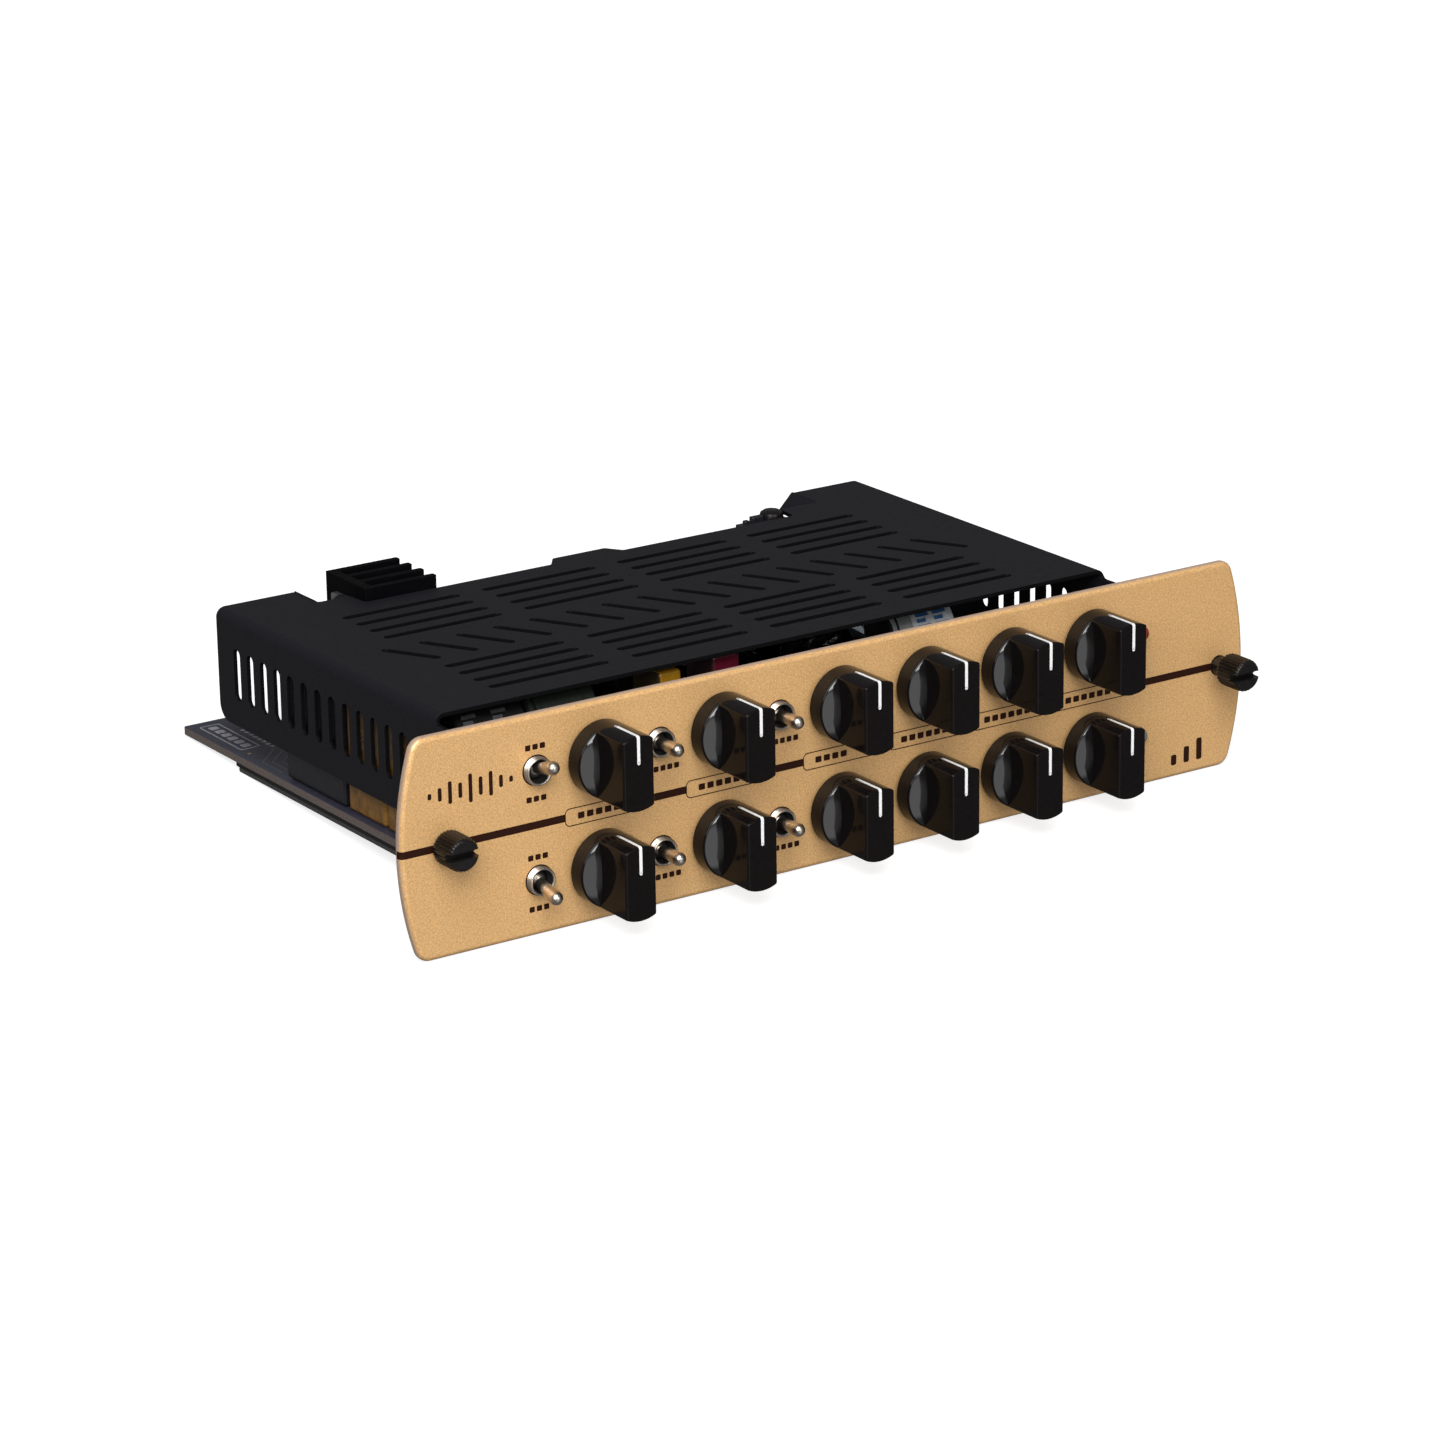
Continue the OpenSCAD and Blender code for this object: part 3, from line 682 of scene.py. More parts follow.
def lever_mesh():
    tip = [(LEVER_TIP_R, LEVER_LEN), (1.31, LEVER_LEN + 0.4), (1.02, LEVER_LEN + 0.95),
           (0.62, LEVER_LEN + 1.26), (0.3, LEVER_LEN + 1.34), (0, LEVER_LEN + 1.35)]
    ball = [(1.95 * sin(t * PI / 12), -1.95 * cos(t * PI / 12)) for t in range(3, 11)]
    tail = [(0, -2.9), (0.45, -2.9), (0.6, -2.7), (0.6, -1.9)]
    stem = [(1.05, 2.1), (1.28, LEVER_LEN - 1.2), (1.34, LEVER_LEN - 0.5)]
    return lathe(tail + ball + stem + tip, 40)


def bushing_mesh(back):
    """A short collar with three thread ridges and a rounded rim."""
    r, front = 2.8, 1.5
    profile = [(2.3, back), (r - 0.1, back)]
    for k in range(3):
        base = -0.1 + k * 0.42
        profile += [(r - 0.18, base), (r, base + 0.14), (r, base + 0.22), (r - 0.18, base + 0.36)]
    for k in range(9):
        t = PI * k / 8
        profile.append((2.52 + 0.28 * cos(t), front - 0.28 + 0.28 * sin(t)))
    profile += [(2.3, front - 0.7)]
    return lathe(profile, 48, closed=True)


def make_toggles():
    collar = bushing_mesh(-PANEL_T)
    # a near-black liner inside each collar's bore: painted shade
    mouth = lathe([(2.0, -4.6), (2.32, -4.6), (2.29, 1.0), (2.22, 1.1), (2.0, -2.0)], 40, closed=True)
    bushings, cases = Piece("switch_collars"), Piece("switch_cases")
    depth = span("switch_bodies")[1].y
    case = cut(plate([rectangle(-3.3, 3.3, -6.3, 6.3, 0.4)], depth, 0.3), bar(2.06, -6, 6))
    strap = plate([rectangle(-3.35, 3.35, -1.2, 1.2, 0.2)], 0.5, 0.1)
    for name in TOGGLES:
        x, z = toggle_place(name)
        place = at(x, FACE_Y, z) @ TO_FRONT
        bushings.add(collar, place, NICKEL)
        bushings.add(mouth, place, BORE_SHADE)
        # a thin dark ring on the panel face round the collar: painted shadow, in the print colour
        bushings.add(tube(2.84, 3.02, -0.1, 0.03), place, PRINT_AND_SHADOW)
        cases.add(case, at(x, depth / 2, z) @ TO_FRONT, SWITCH_BLUE)
        cases.add(strap, at(x, depth - 0.2, z) @ TO_FRONT, STEEL)
        tilt = radians(REST_TILT.get(name, 0))
        lever = Piece(f"lever_{name}_bat", "toggle_" + name)
        swing = Matrix.Rotation(-tilt, 4, "X")
        lever.add(lever_mesh(), at(x, FACE_Y + PIVOT_DEPTH, z) @ swing @ TO_FRONT, NICKEL)
        lever.make("bright_metal", "lever_" + name)
    bushings.make("bright_metal", "switch_bushings")
    cases.make("switch_case", "switch_bodies")


def make_lamps():
    for name, material, slot in (("lamp_red", RED_LENS, "red_lens"), ("lamp_grey", GREY_LENS, "grey_lens")):
        c, back = middle(name), span(name)[1].y
        dome = [(1.6 * cos(t * PI / 16), 0.6 + 1.6 * sin(t * PI / 16)) for t in range(9)]
        profile = [(0, -6), (1.3, -6), (1.6, -5.7), (1.6, 0.6)] + dome[1:]
        piece = Piece(name + "_lens")
        place = at(c.x, FACE_Y, c.z) @ TO_FRONT
        piece.add(lathe(profile, 40), place, material)
        for side in (-0.6, 0.6):
            piece.add(bar(0.25, FACE_Y - back, -5.9, 12), place @ at(side), COPPER)
        piece.make(slot, name)


# ---- thumbscrews


def knurled_ring(r, depth, height, ridges=28, steps=8):
    count = ridges * steps
    ring = []
    for k in range(count):
        wave = 0.5 + 0.5 * cos(2 * PI * k / steps)
        a = r - depth * (1 - wave) ** 0.6
        t = 2 * PI * k / count
        ring.append((a * cos(t), a * sin(t), height))
    return ring


def screw_mesh():
    """The knurled, slotted head; heights are measured out from its seat."""
    r, length = 3.4, 6.5
    levels = [(0.1, r - 0.45, 0), (0.3, r - 0.15, 0.18), (0.5, r, 0.42), (length - 0.95, r, 0.42),
              (length - 0.6, r - 0.1, 0.20), (length - 0.35, r - 0.28, 0.05), (length - 0.1, r - 0.5, 0),
              (length, r - 0.75, 0)]
    head = from_rings([knurled_ring(a, d, h) for h, a, d in levels])
    slot = plate([rectangle(-5, 5, -0.75, 0.75)], 4.0, 0.01, 1)
    return cut(head, joined([(slot, at(0, 0, length))]))


def shank_mesh():
    """The threaded shank, with its groove and plain tip."""
    profile = [(0, -14), (1.3, -14), (1.6, -13.7)]
    height = -13.6
    while height < -7.9:
        profile += [(1.68, height), (2.0, height + 0.28), (2.0, height + 0.36), (1.68, height + 0.62)]
        height += 0.7
    profile += [(1.95, -7.7), (1.95, -7.45), (1.6, -7.45), (1.6, -6.55), (1.95, -6.55), (1.97, 0.3)]
    profile.append((0, 0.3))
    return lathe(profile, 40)


def make_thumbscrews():
    head, shank = screw_mesh(), shank_mesh()
    clip = lathe([(1.66, 0), (3.5, 0), (3.6, 0.1), (3.6, 0.7), (3.5, 0.8), (1.66, 0.8)], 48, closed=True)
    gap = plate([rectangle(-0.5, 0.5, 0, 6)], 2, 0.01, 1)
    clip = cut(clip, gap)
    for side, slot_turn in (("left", 1), ("right", 0)):
        lo, hi = span("thumbscrew_" + side)
        x = (lo.x + hi.x) / 2
        seat_y = lo.y + 6.5
        turn = Matrix.Rotation(radians(slot_turn), 4, "Z")
        place = at(x, seat_y, 0) @ TO_FRONT @ turn
        piece = Piece(f"thumbscrew_{side}_turned", "thumbscrew_" + side)
        piece.add(head, place, BLACK_METAL)
        piece.add(shank, place, BLACK_METAL)
        piece.make("black_metal", "thumbscrew_" + side, smooth=30)
        clip_hi = span("screw_clip_" + side)[1].y
        ring = Piece(f"screw_clip_{side}_ring", "clip_" + side)
        ring.add(clip, at(x, clip_hi, 0) @ TO_FRONT, STEEL)
        ring.make("plain_metal", "screw_clip_" + side)


# ---- cover

cover_lo, cover_hi = span("cover")
COVER_X = (cover_lo.x + cover_hi.x) / 2
SHEET_T, BEND_R = 0.9, 2.0
BEND_IN = cover_hi.x - COVER_X - BEND_R
BEND_MID = BEND_R - SHEET_T / 2
BEND_LEN = BEND_MID * PI / 2
WALL_S = BEND_IN + BEND_LEN + (cover_hi.z - BEND_R - cover_lo.z)
COVER_FRONT = 19.0
TAB_X, STEP_Y, FLAP_DROP = 61.4, 95.6, 3.5
# the cover's rear edge between its two side tabs
REAR_EDGE = [(53, 95.6), (52.5, 89.9), (9.2, 89.9), (6.8, 93.5), (-6, 93.5), (-8.6, 89.9),
             (-52.9, 89.9), (-53.4, 95.6)]
SLOT_W, TOP_SLOT_LEN, TOP_SLOT_PITCH = 1.9, 27.0, 5.37
SIDE_SLOT_PITCH, SIDE_SLOT_W, SIDE_SLOT_Z = 5.44, 2.6, (0.06, 10.9)


def unfold_z(z):
    """Distance from the middle of the flat sheet to a height on a side wall."""
    return BEND_IN + BEND_LEN + (cover_hi.z - BEND_R - z)


def cover_outline():
    wall_top = BEND_IN + BEND_LEN
    back = cover_hi.y
    middle_edge = [(x - COVER_X, y) for x, y in REAR_EDGE]
    rear = [(WALL_S, back), (TAB_X, back), (TAB_X, STEP_Y)] + middle_edge
    rear += [(-TAB_X, STEP_Y), (-TAB_X, back), (-WALL_S, back)]
    front = [(-WALL_S, 0), (-wall_top, 0), (-wall_top, COVER_FRONT), (wall_top, COVER_FRONT),
             (wall_top, 0), (WALL_S, 0)]
    points = []
    corners = rear + front
    for i, p in enumerate(corners):
        r = 3.5 if p in (rear[0], rear[-1]) else 0.8
        a, b = corners[i - 1], corners[(i + 1) % len(corners)]
        points += rounded([a, p, b], r)[6:12]
    return points


def cover_slots():
    """Slots in the flat sheet, placed about the cover's own middle."""
    loops = []
    for x in (-48.7, -16.0, 16.6, 49.2):
        for y in (82.7, 43.3):
            rows = [y - i * TOP_SLOT_PITCH for i in range(4)]
            loops += [stadium(x - COVER_X, row, TOP_SLOT_LEN, SLOT_W) for row in rows]
    for i in range(16):
        loops.append(stadium(i * 128 / 15 - 64, 54.4, 13, SLOT_W, radians(120)))
    s = (unfold_z(SIDE_SLOT_Z[0]) + unfold_z(SIDE_SLOT_Z[1])) / 2
    for i in range(13):
        for side in (-1, 1):
            length = SIDE_SLOT_Z[1] - SIDE_SLOT_Z[0]
            loops.append(stadium(side * s, 96.7 - i * SIDE_SLOT_PITCH, length, SIDE_SLOT_W))
    return loops


def fold(co):
    """Bends a point of the flat sheet down at the sides."""
    side = copysign(1, co.x)
    s, lift = abs(co.x), co.z
    top = cover_hi.z - SHEET_T / 2
    if s <= BEND_IN:
        return Vector((co.x, co.y, top + lift))
    if s <= BEND_IN + BEND_LEN:
        t = (s - BEND_IN) / BEND_MID
        r = BEND_MID + lift
        return Vector((side * (BEND_IN + r * sin(t)), co.y, top - BEND_MID + r * cos(t)))
    drop = s - BEND_IN - BEND_LEN
    return Vector((side * (BEND_IN + BEND_MID + lift), co.y, top - BEND_MID - drop))


def make_cover():
    flat = plate([cover_outline()] + cover_slots(), SHEET_T, 0.1, 1)
    bm = bmesh.new()
    bm.from_mesh(flat)
    for side in (-1, 1):
        for k in range(7):
            s = side * (BEND_IN + BEND_LEN * k / 6)
            everything = bm.verts[:] + bm.edges[:] + bm.faces[:]
            bmesh.ops.bisect_plane(bm, geom=everything, plane_co=(s, 0, 0), plane_no=(1, 0, 0))
    bm.normal_update()
    bm.faces.index_update()
    shaded_edges = {f.index for f in bm.faces if abs(f.normal.z) < 0.9}
    for v in bm.verts:
        v.co = fold(v.co)
    folded = bpy.data.meshes.new("folded")
    bm.to_mesh(folded)
    bm.free()
    piece = Piece("cover_sheet")
    piece.add(folded, at(COVER_X), BLACK_COAT)
    # the flat sheet's edge faces, slot walls and cut edges, take the near-black: painted shade
    piece.repaint(0, SLOT_SHADE, lambda f: f.index in shaded_edges)
    inner = cover_hi.x - COVER_X - SHEET_T
    top, slant = cover_hi.z, hypot(FLAP_DROP, FLAP_DROP)
    for side in (-1, 1):
        x = sorted((COVER_X + side * inner, COVER_X + side * (inner - 3.8)))
        piece.box(x, (0, SHEET_T), (cover_lo.z, 8), BLACK_COAT, 0.2)
        # the flap folded down at 45 degrees along the inner edge of a rear tab
        flap = plate([rectangle(-slant, 0.4, STEP_Y, cover_hi.y, 0.4)], 0.64 * SHEET_T, 0.1, 1)
        lean = Matrix.Rotation(-PI / 4, 4, "Y") @ at(0, 0, -0.32 * SHEET_T)
        mirror = at(COVER_X) @ Matrix.Diagonal((side, 1, 1, 1))
        piece.add(flap, mirror @ at(TAB_X, 0, top) @ lean, BLACK_COAT)
    piece.make("black_sheet", "cover", smooth=30)


# ---- tray and boards


def board(piece, node, upright=False):
    """A green circuit board with a bare edge; an upright one stands across the object."""
    x, y, z = limits(node)
    side, thick, flat = (z, y, 1) if upright else (y, z, 2)
    mesh = plate([rectangle(*x, *side, 0.6)], thick[1] - thick[0], 0.06, 1)
    place = at(0, sum(y) / 2) @ TO_FRONT if upright else at(0, 0, sum(z) / 2)
    piece.add(mesh, place, BOARD_EDGE)
    piece.repaint(0, BOARD_GREEN, lambda f: abs(f.normal[flat]) > 0.9)


def make_main_board():
    lo, hi = span("main_board")
    top = hi.z + 0.02
    piece = Piece("main_board_sheet")
    rear = [(hi.x, hi.y), (62, hi.y), (62, 110), (32, 110), (32, hi.y)]
    outline = [(lo.x, lo.y), (hi.x, lo.y)] + rear + [(-x, y) for x, y in reversed(rear)]
    slab = plate([rounded(outline, 0.7)], hi.z - lo.z, 0.06, 1)
    piece.add(slab, at(0, 0, (lo.z + hi.z) / 2), BOARD_EDGE)
    piece.repaint(0, BOARD_TOP, lambda f: abs(f.normal.z) > 0.9)
    # a printed frame and dashes near the rear left corner, and a few tracks
    x0, x1, y0, y1 = -76.6, -72.0, 101.5, 119.5
    outer = rectangle(x0, x1, y0, y1, 0.6)
    inner = rectangle(x0 + 0.3, x1 - 0.3, y0 + 0.3, y1 - 0.3, 0.4)
    prints = [[outer, inner]]
    for k in range(6):
        prints.append([rectangle(x0 + 1.3, x1 - 1.3, y0 + 1.4 + 2.7 * k, y0 + 3.2 + 2.7 * k, 0.3)])
    for k in range(8):
        prints.append([rectangle(-70.6, -69.4, y0 - 2 + 1.8 * k, y0 - 0.9 + 1.8 * k, 0.2)])
    for loops in prints:
        piece.add(plate(loops, 0.04, 0.005, 1), at(0, 0, top), GREY_PRINT)
    for k in range(4):
        x, y = -77 + 1.7 * k, 84 - 1.1 * k
        track = [(0, 0), (0.35, 0), (0.35, 8), (6.35, 14), (6, 14.3), (0, 8.2)]
        track = [(x + dx, y + dy) for dx, dy in track]
        piece.add(plate([track], 0.03, 0.004, 1), at(0, 0, top), TRACK)
    piece.add(plate([circle(-76.3, 98.6, 0.45, 16), circle(-76.3, 98.6, 0.2, 12)], 0.04, 0.005, 1),
              at(0, 0, top), GOLD_PLATE)
    piece.make("circuit_board", "main_board")


def make_bottom():
    """A near-black sheet in the gap above the bottom plate, painted shade for that gap, and the bottom
    plate with its two front lugs.
    """
    shade_sheet = Piece("gap_shade_sheet").box(*limits("insulator_sheet"), GAP_SHADE, 0.2)
    shade_sheet.make("insulator", "insulator_sheet")
    lo, hi = span("bottom_plate")
    arm, front = 3.8, span("control_board")[1].y
    outline = [(-hi.x, 0), (-hi.x + arm, 0), (-hi.x + arm, front), (hi.x - arm, front), (hi.x - arm, 0),
               (hi.x, 0), (hi.x, hi.y), (-hi.x, hi.y)]
    piece = Piece("bottom_sheet")
    piece.add(plate([rounded(outline, 0.8)], SHEET_T, 0.2), at(0, 0, lo.z + SHEET_T / 2), BLACK_COAT)
    piece.repaint(0, SHEET_EDGE, lambda f: abs(f.normal.z) < 0.95)
    for side in (-1, 1):
        x = sorted((side * hi.x, side * (hi.x - arm)))
        piece.box(x, (0, SHEET_T), (lo.z + SHEET_T - 0.4, hi.z), BLACK_COAT, 0.2)
    piece.make("black_sheet", "bottom_plate")


PIN_PITCH, PIN_INSET = 5.08, (3, 2.2)
PILLARS_X, PILLAR_R = (-60, -12, 44), 2.9


def make_upright_boards():
    """The two upright boards with their soldered pins, the upper board and its pillars."""
    dot = lathe([(0, 0), (0.8, 0), (0.5, 0.35), (0, 0.5)], 12)
    for node in ("control_board", "valve_board"):
        lo, hi = span(node)
        piece = Piece(node + "_sheet")
        board(piece, node, upright=True)
        for k in range(int((hi.x - lo.x) / 5.1)):
            x = lo.x + PIN_INSET[0] + k * PIN_PITCH
            for z in (lo.z + PIN_INSET[1], hi.z - PIN_INSET[1]):
                piece.add(dot, at(x, hi.y, z) @ TO_BACK, COPPER)
        piece.make("circuit_board", node)
    piece = Piece("upper_board_sheet")
    board(piece, "upper_board")
    piece.make("circuit_board", "upper_board")
    piece = Piece("pillars_turned")
    lo, hi = span("board_pillars")
    pillar = plate([circle(0, 0, PILLAR_R, 6)], hi.z - lo.z, 0.3)
    for x in PILLARS_X:
        piece.add(pillar, at(x, (lo.y + hi.y) / 2, (lo.z + hi.z) / 2), STEEL)
    piece.make("plain_metal", "board_pillars")


def make_contacts():
    lo, hi = span("edge_contacts")
    piece = Piece("edge_fingers")
    for k in range(15):
        x = (k - 7) * 3.96
        for z in (lo.z + 0.05, hi.z - 0.05):
            finger = plate([rectangle(x - 1.2, x + 1.2, lo.y, hi.y - 0.3, 0.3)], 0.1, 0.02, 1)
            piece.add(finger, at(0, 0, z), GOLD_PLATE)
    piece.make("gold_contact", "edge_contacts")


# ---- rear pieces

sink_lo, sink_hi = span("heat_sink")
FIN_T, SINK_BASE_T, FINS = 1.6, 2.3, 4


def make_heat_sink():
    pitch = (sink_hi.y - sink_lo.y - FIN_T) / (FINS - 1)
    inner = sink_lo.x + SINK_BASE_T
    outline = [(sink_lo.x, sink_hi.y), (sink_lo.x, sink_lo.y)]
    for i in range(FINS):
        y = sink_lo.y + i * pitch
        outline += [(sink_hi.x, y), (sink_hi.x, y + FIN_T)]
        if i < FINS - 1:
            outline += [(inner, y + FIN_T), (inner, y + pitch)]
    outline = rounded(outline, 0.35, 3)
    block = plate([outline], sink_hi.z - sink_lo.z, 0.12, 2)
    piece = Piece("heat_sink_extrusion")
    piece.add(block, at(0, 0, (sink_lo.z + sink_hi.z) / 2), ANODISED)
    piece.make("black_aluminium", "heat_sink")


def pan_head(piece, place, material):
    """A small pan-head screw with a cross recess; local Z points out of its head."""
    head = lathe([(0, 0), (2.55, 0), (2.6, 0.5), (2.35, 1.25), (1.7, 1.68), (0.9, 1.8), (0, 1.8)], 40)
    arms = []
    for a, b in ((1.6, 0.3), (0.3, 1.6)):
        arms.append((plate([rectangle(-a, a, -b, b)], 1.6, 0.01, 1), at(0, 0, 1.9)))
    piece.add(cut(head, joined(arms)), place, material)


# x, y and z limits of the terminal's steps; None stands for its foot
TERMINAL_BLOCKS = [((41, 47.4), (91.3, 95.1), (None, 16.6)), ((44.5, 47.4), (93.6, 95.1), (16.4, 17.8)),
                   ((41, 42.2), (91.3, 92.5), (16.4, 18.1)), ((47.4, 53), (92.1, 97.7), (None, 16.6))]


def make_rear():
    lo, hi = span("regulator")
    hole_y, hole_z = (lo.y + hi.y) / 2, hi.z - 2.0
    piece = Piece("regulator_package")
    tab = plate([rectangle(lo.y, hi.y, 2, hi.z, 0.6), circle(hole_y, hole_z, 1.5, 24)], 1.3, 0.12, 2)
    side = Matrix(((0, 0, 1, 0), (1, 0, 0, 0), (0, 1, 0, 0), (0, 0, 0, 1)))
    piece.add(tab, at(sink_lo.x - 0.65) @ side, STEEL)
    piece.box((lo.x, sink_lo.x - 1.25), (lo.y, hi.y), (-7, 8), MOULDED, 0.35)
    for k in (-2.54, 0, 2.54):
        piece.box((lo.x + 1.6, lo.x + 2.1), (hole_y + k - 0.4, hole_y + k + 0.4), (lo.z, -6.8), COPPER, 0.1)
    piece.make("black_plastic", "regulator")

    lo, hi = span("ground_terminal")
    piece = Piece("terminal_block")
    for x, y, z in TERMINAL_BLOCKS:
        piece.box(x, y, (lo.z if z[0] is None else z[0], z[1]), MOULDED, 0.25)
    piece.make("black_plastic", "ground_terminal")

    piece = Piece("rear_screw_heads")
    pan_head(piece, at(sink_lo.x - 1.3, hole_y, hole_z) @ Matrix.Rotation(-PI / 2, 4, "Y"), BLACK_METAL)
    piece.add(disc(1.45, 0, 1.3, 24), at(sink_lo.x - 1.3, hole_y, hole_z) @ TO_RIGHT, STEEL)
    pan_head(piece, at(50.2, 94.9, 16.6), BLACK_METAL)
    piece.make("plain_metal", "rear_screws")


# ---- controls behind the panel


def make_pots():
    cans, nuts = Piece("pot_cans"), Piece("pot_hex_nuts")
    depth = span("pot_bodies")[1].y
    barrel = [(3.05, -1.0), (3.45, -1.0), (3.5, 0.0)]
    for k in range(6):
        base = 2.2 + k * 0.45
        barrel += [(3.35, base), (3.5, base + 0.15), (3.35, base + 0.4)]
    barrel += [(3.2, 5.15), (3.05, 5.15)]
    barrel = lathe(barrel, 48, closed=True)
    can = lathe([(3.05, 0), (7.2, 0), (7.6, 0.4), (7.6, depth - 0.8), (7.2, depth), (0, depth)], 56)
    nut = cut(plate([circle(0, 0, 5.6, 6)], 2.0, 0.35), bar(3.55, -3, 3))
    for _, _, c in KNOBS:
        place = at(c.x, 0, c.z) @ TO_FRONT
        cans.add(can, at(c.x, 0, c.z) @ TO_BACK, STEEL)
        cans.add(barrel, place, NICKEL)
        nuts.add(nut, at(c.x, FACE_Y - 1.0, c.z) @ TO_FRONT, NICKEL)
    cans.make("plain_metal", "pot_bodies")
    nuts.make("plain_metal", "pot_nuts")


# ---- valves

VALVE_X, VALVE_Z = (2, 30), 2
BULB_R, BULB_INNER_R, DOME_START = 10.2, 9.3, 40


def valve_glass():
    """A hollow bulb with a domed top and a pinched-off tip."""
    def dome(r, steps):
        return [(r * cos(t * PI / 20), DOME_START + r * sin(t * PI / 20)) for t in steps]

    outer = [(8.9, 0), (BULB_R, 1.2), (BULB_R, 38)] + dome(BULB_R, range(9))
    outer += [(1.6, 50.6), (1.3, 51.8), (0.6, 52.5), (0, 52.6)]
    inner = [(0, 49.2)] + dome(BULB_INNER_R, range(9, -1, -1)) + [(BULB_INNER_R, 1.4), (0, 1.4)]
    return lathe(outer + inner + [(0, 0)], 56)


def make_valves():
    foot = span("valves")[1].y
    glass, parts, sockets = Piece("valve_bulbs"), Piece("valve_electrodes"), Piece("valve_holders")
    for x in VALVE_X:
        place = at(x, foot, VALVE_Z) @ TO_FRONT
        glass.add(valve_glass(), place, GLASS)
        for height in (8, 34):
            parts.add(disc(8.6, height, height + 0.5, 40), place, MICA)
        for side in (-3.9, 3.9):
            box = plate([rectangle(side - 3.0, side + 3.0, -2.6, 2.6, 1.2)], 24, 0.4)
            parts.add(box, place @ at(0, 0, 21), ANODISED)
        parts.add(lathe([(6, 39.4), (6.5, 39), (6.8, 39.6), (6.3, 40)], 40, closed=True), place, GETTER)
        for k in range(9):
            t = 2 * PI * (k + 0.5) / 10
            parts.add(bar(0.4, 1, 8, 12), place @ at(5.5 * cos(t), 5.5 * sin(t)), STEEL)
        ring = [(0, -6), (10.3, -6), (11, -5.3), (11, -0.8), (10.4, 0), (0, 0)]
        sockets.add(lathe(ring, 56), place, CERAMIC)
    glass.make("valve_glass", "valves")
    parts.make("plain_metal")
    sockets.make("ceramic", "valve_sockets")


# ---- components


def sleeve_mesh(start, end, r, first=True, last=True):
    """A stretch of an electrolytic can; its first end has the rolled groove, its last the vent."""
    left = [(0, start), (r, start)]
    right = [(r, end), (0, end)]
    if first:
        left = [(0, start + 0.25), (r - 0.9, start + 0.25), (r - 0.6, start), (r, start + 0.4),
                (r, start + 1.4), (r - 0.3, start + 1.7), (r, start + 2.0)]
    if last:
        right = [(r, end - 0.5), (r - 0.5, end), (r - 1.0, end - 0.2), (0, end - 0.2)]
    return lathe(left + right, 56)


def sleeve_mark(along, turn, width, height, r):
    """A printed dash that follows the can's round side."""
    rings = []
    for side in (0, 1):
        h = along + side * width
        arc_points = [turn + height / r * (k / 4 - 0.5) for k in range(5)]
        out = [((r + 0.03) * cos(t), (r + 0.03) * sin(t), h) for t in arc_points]
        back = [((r - 0.05) * cos(t), (r - 0.05) * sin(t), h) for t in reversed(arc_points)]
        rings.append(out + back)
    return from_rings(rings)


# each can's left end, length, axis in y, sleeves as (start, end, material), and ink
CANS = [(30.0, 15.8, 28.3, [(0.3, 5.3, "grey"), (5.3, 15.6, "silver")], "blue"),
        (-72.8, 15.4, 26.5, [(0.3, 15.2, "black")], "grey"),
        (-56.9, 15.6, 26.5, [(0.3, 15.4, "green")], None)]
SLEEVES = {"grey": GREY_SLEEVE, "silver": SILVER_SLEEVE, "black": BLACK_SLEEVE, "green": GREEN_SLEEVE}
INKS = {"blue": BLUE_PRINT, "grey": DIM_PRINT}


def make_cans():
    lo, hi = span("can_capacitors")
    r, z = (hi.z - lo.z) / 2, (lo.z + hi.z) / 2
    piece = Piece("electrolytic_cans")
    for x0, length, y, sleeves, ink in CANS:
        place = at(x0, y, z) @ TO_RIGHT
        for start, end, colour in sleeves:
            first, last = start == sleeves[0][0], end == sleeves[-1][1]
            painted = len(piece.bm.faces)
            left, right = start - (0.3 if first else 0), end + (0.2 if last else 0)
            piece.add(sleeve_mesh(left, right, r, first, last), place, SLEEVES[colour])
            piece.repaint(painted, RUBBER, lambda f: f.normal.x < -0.6)
        if ink is None:
            continue
        for k in range(2):
            start = sleeves[-1][0] + 1.2 + k * (length - sleeves[-1][0] - 2) / 2
            for turn, w in ((0.80, 3.2), (1.04, 2.2), (1.28, 3.4)):
                piece.add(sleeve_mark(start, PI + turn, w, 0.8, r), place, INKS[ink])
    piece.make("can_sleeve", "can_capacitors")


def make_boxes():
    lo, hi = span("box_capacitors")
    piece = Piece("film_box_capacitors")
    for x, top, material, side in (((lo.x, -22), 15.4, YELLOW_RESIN, YELLOW_PAINTED_SHADE),
                                   ((-14.7, hi.x), hi.z, RED_RESIN, RED_PAINTED_SHADE)):
        painted = len(piece.bm.faces)
        piece.box(x, (lo.y, hi.y), (lo.z, top), material, 0.8)
        # the left faces take the darker copy: painted shade where the cover keeps light off
        piece.repaint(painted, side, lambda f: f.normal.x < -0.7)
    piece.make("yellow_resin", "box_capacitors")
    lo, hi = span("film_capacitors")
    piece = Piece("brown_film_capacitors")
    for y, top in (((42.7, 56.9), hi.z), ((34.7, 41.9), hi.z), ((24.7, 33.9), -1.4)):
        piece.box((lo.x, hi.x), y, (lo.z, top), BROWN_RESIN, 0.9)
    piece.make("brown_resin", "film_capacitors")
    lo, hi = span("relay_box")
    piece = Piece("relay_case")
    x, y, _ = limits("relay_box")
    piece.box(x, y, (lo.z + 0.4, hi.z), MOULDED, 0.5)
    piece.box((lo.x + 0.6, hi.x - 0.6), (lo.y + 0.6, hi.y - 0.6), (lo.z, lo.z + 0.6), MOULDED, 0.2)
    for k in range(2):
        y = lo.y + 7 + k * 6
        piece.box((lo.x + 5, hi.x - 5), (y, y + 0.7), (hi.z - 0.03, hi.z), GREY_PRINT, 0.01)
    piece.make("black_plastic", "relay_box")


LEAD_R = 0.28


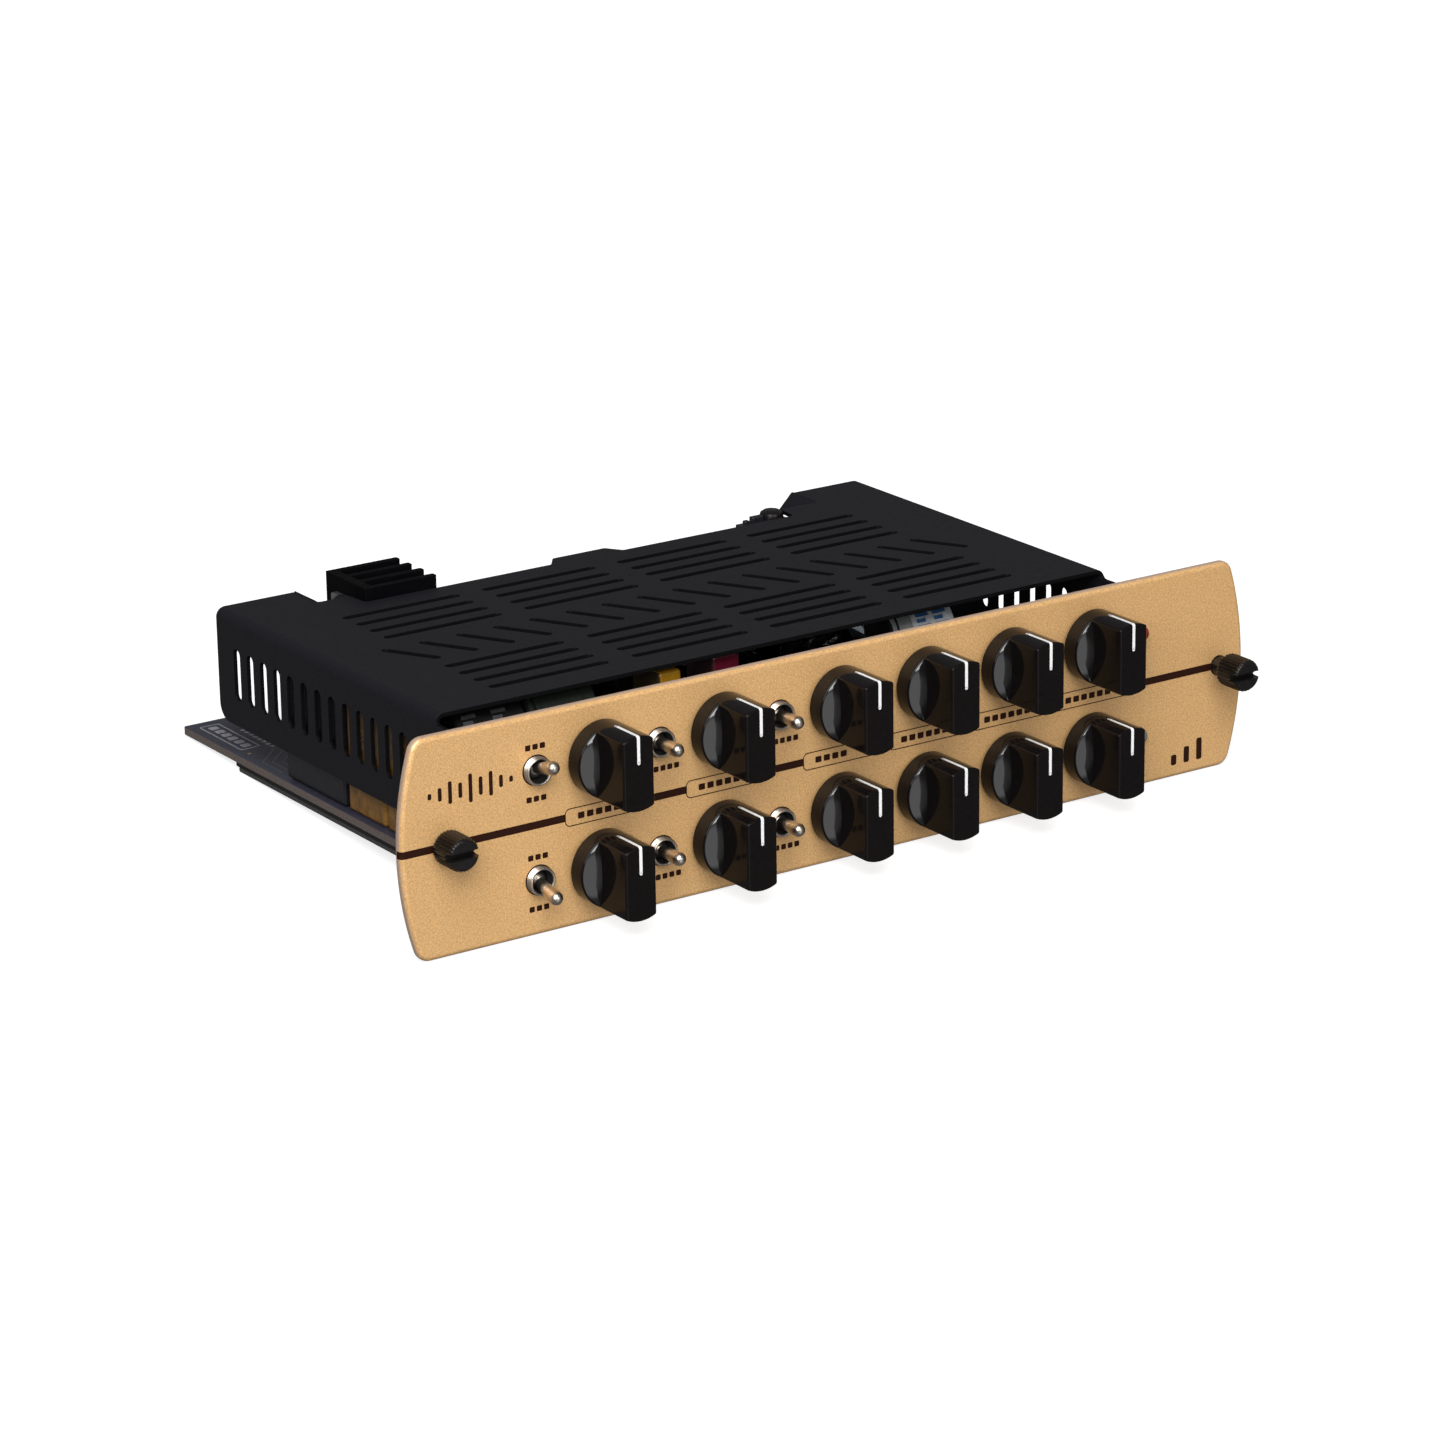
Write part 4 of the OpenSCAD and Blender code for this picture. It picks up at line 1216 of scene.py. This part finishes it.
def resistor(piece, x, y, z, along_y=False):
    """A small axial resistor with colour bands and bent leads."""
    turn = Matrix.Rotation(PI / 2, 4, "Z") if along_y else IDENTITY
    place = at(x, y, z + 1.3) @ turn @ TO_RIGHT @ at(0, 0, -3.2)
    left = [(0, 0), (0.9, 0.1), (1.2, 0.6), (1.2, 1.5), (1.0, 1.9)]
    right = [(1.0, 4.5), (1.2, 4.9), (1.2, 5.8), (0.9, 6.3), (0, 6.4)]
    body = lathe(left + right, 20)
    piece.add(body, place, RESISTOR_BLUE)
    for h in (1.0, 2.5, 3.2, 3.9, 5.3):
        r = 1.22 if h in (1.0, 5.3) else 1.02
        piece.add(bar(r, h, h + 0.35, 20), place, BAND)
    for h0, h1 in ((-1.6, 0.1), (6.3, 8.0)):
        piece.add(bar(LEAD_R, h0, h1, 8), place, COPPER)
    for h in (-1.6, 8.0):
        piece.add(bar(LEAD_R, z, z + 1.55, 8), at(x, y) @ turn @ at(h - 3.2), COPPER)


def make_small_parts():
    """Resistors and chips on the boards."""
    piece = Piece("board_resistors")
    board_top = span("main_board")[1].z
    for row in range(4):
        for k in range(5):
            if random.random() > 0.2:
                resistor(piece, -46 + row * 9.5, 40 + k * 8.5, board_top)
    for k in range(6):
        resistor(piece, 56 + (k % 2) * 12, 34 + k * 8, board_top, along_y=True)
    for k in range(5):
        resistor(piece, -26 + k * 13, 110, board_top, along_y=k % 2 == 0)
    piece.make("circuit_board")
    piece = Piece("board_chips")
    for x, y in ((-30, 104), (14, 101), (62, 70), (62, 84), (66, 108)):
        top = board_top + 3.6
        piece.box((x - 4.8, x + 4.8), (y - 3.1, y + 3.1), (board_top + 0.6, top), MOULDED, 0.25)
        piece.add(disc(0.6, 0, 0.03, 16), at(x - 3.8, y - 1.8, top - 0.01), GREY_PRINT)
        for k in range(4):
            for side in (-1, 1):
                px, py = x - 3.8 + k * 2.54, y + side * 3.5
                leg = (px - 0.4, px + 0.4), (py - 0.15, py + 0.15), (board_top, board_top + 2.2)
                piece.box(*leg, COPPER, 0.05)
    piece.make("black_plastic")


# ---- stage and light


def add_light(kind, name, power, aim, place=(0, 0, 0)):
    data = bpy.data.lights.new(name, kind)
    data.energy = power
    light = bpy.data.objects.new(name, data)
    light.location = place
    light.rotation_euler = (Vector(aim) - Vector(place)).to_track_quat("-Z", "Y").to_euler()
    scene.collection.objects.link(light)
    return data


def make_stage():
    """A pale floor under the panel's lower edge and the tray's rear edge."""
    plate_lo, plate_hi = span("bottom_plate")
    rise = atan2(plate_lo.z - panel_lo.z, plate_hi.y)
    bm = bmesh.new()
    bmesh.ops.create_grid(bm, x_segments=1, y_segments=1, size=6)
    mesh = bpy.data.meshes.new("floor")
    bm.to_mesh(mesh)
    bm.free()
    paint = textured("floor_paint", (0.34, 0.34, 0.34), (0.36, 0.36, 0.36), (0.7, 0.8), grain=30,
                     Emission_Color=(1, 1, 1, 1), Emission_Strength=0.75)
    mesh.materials.append(paint)
    floor = bpy.data.objects.new("floor", mesh)
    floor.location.z = panel_lo.z * MM
    floor.rotation_euler = (rise, 0, 0)
    floor.visible_glossy = False
    floor.visible_diffuse = False
    scene.collection.objects.link(floor)


# direction, radiance and edges (as cosines) of the bright card, and the radiance elsewhere
CARD_TOWARD, CARD_RADIANCE, CARD_EDGES, DIM_RADIANCE = (0.05, -0.94, -0.33), 0.95, (0.90, 0.95), 0.17


def make_world():
    """White behind the object; dim round it, with a soft bright card low in front."""
    world = bpy.data.worlds.new("studio")
    world.use_nodes = True
    tree = world.node_tree
    link = tree.links.new
    coords = add_node(tree, "TexCoord")
    toward = add_node(tree, "VectorMath")
    toward.operation = "DOT_PRODUCT"
    toward.inputs[1].default_value = Vector(CARD_TOWARD).normalized()
    levels = {"From Min": CARD_EDGES[0], "From Max": CARD_EDGES[1],
              "To Min": DIM_RADIANCE, "To Max": CARD_RADIANCE}
    card = add_node(tree, "MapRange", **levels)
    card.interpolation_type = "SMOOTHSTEP"
    path = add_node(tree, "LightPath")
    strength = add_node(tree, "Mix", B=1.0)
    link(coords.outputs["Generated"], toward.inputs[0])
    link(toward.outputs["Value"], card.inputs["Value"])
    link(path.outputs["Is Camera Ray"], strength.inputs["Factor"])
    link(card.outputs["Result"], strength.inputs["A"])
    link(strength.outputs["Result"], tree.nodes["Background"].inputs["Strength"])
    tree.nodes["Background"].inputs["Color"].default_value = (1, 1, 1, 1)
    scene.world = world
    scene.view_settings.view_transform = "Standard"


def make_lights():
    add_light("SUN", "soft_sun", 3.1, (0.45, 0.75, -1.05)).angle = radians(40)
    for name, place, aim, size, power in (("key", (-0.85, -0.75, 0.55), (-0.03, 0, 0), 0.7, 11),
                                          ("front", (0.12, -1.2, 0.34), (0, 0, 0), 0.42, 3.2)):
        data = add_light("AREA", name, power, aim, place)
        data.shape = "RECTANGLE"
        data.size = data.size_y = size


make_panel()
make_print()
make_knobs()
make_shafts()
make_toggles()
make_lamps()
make_thumbscrews()
make_cover()
make_main_board()
make_bottom()
make_upright_boards()
make_contacts()
make_heat_sink()
make_rear()
make_pots()
make_valves()
make_cans()
make_boxes()
make_small_parts()
make_stage()
make_world()
make_lights()
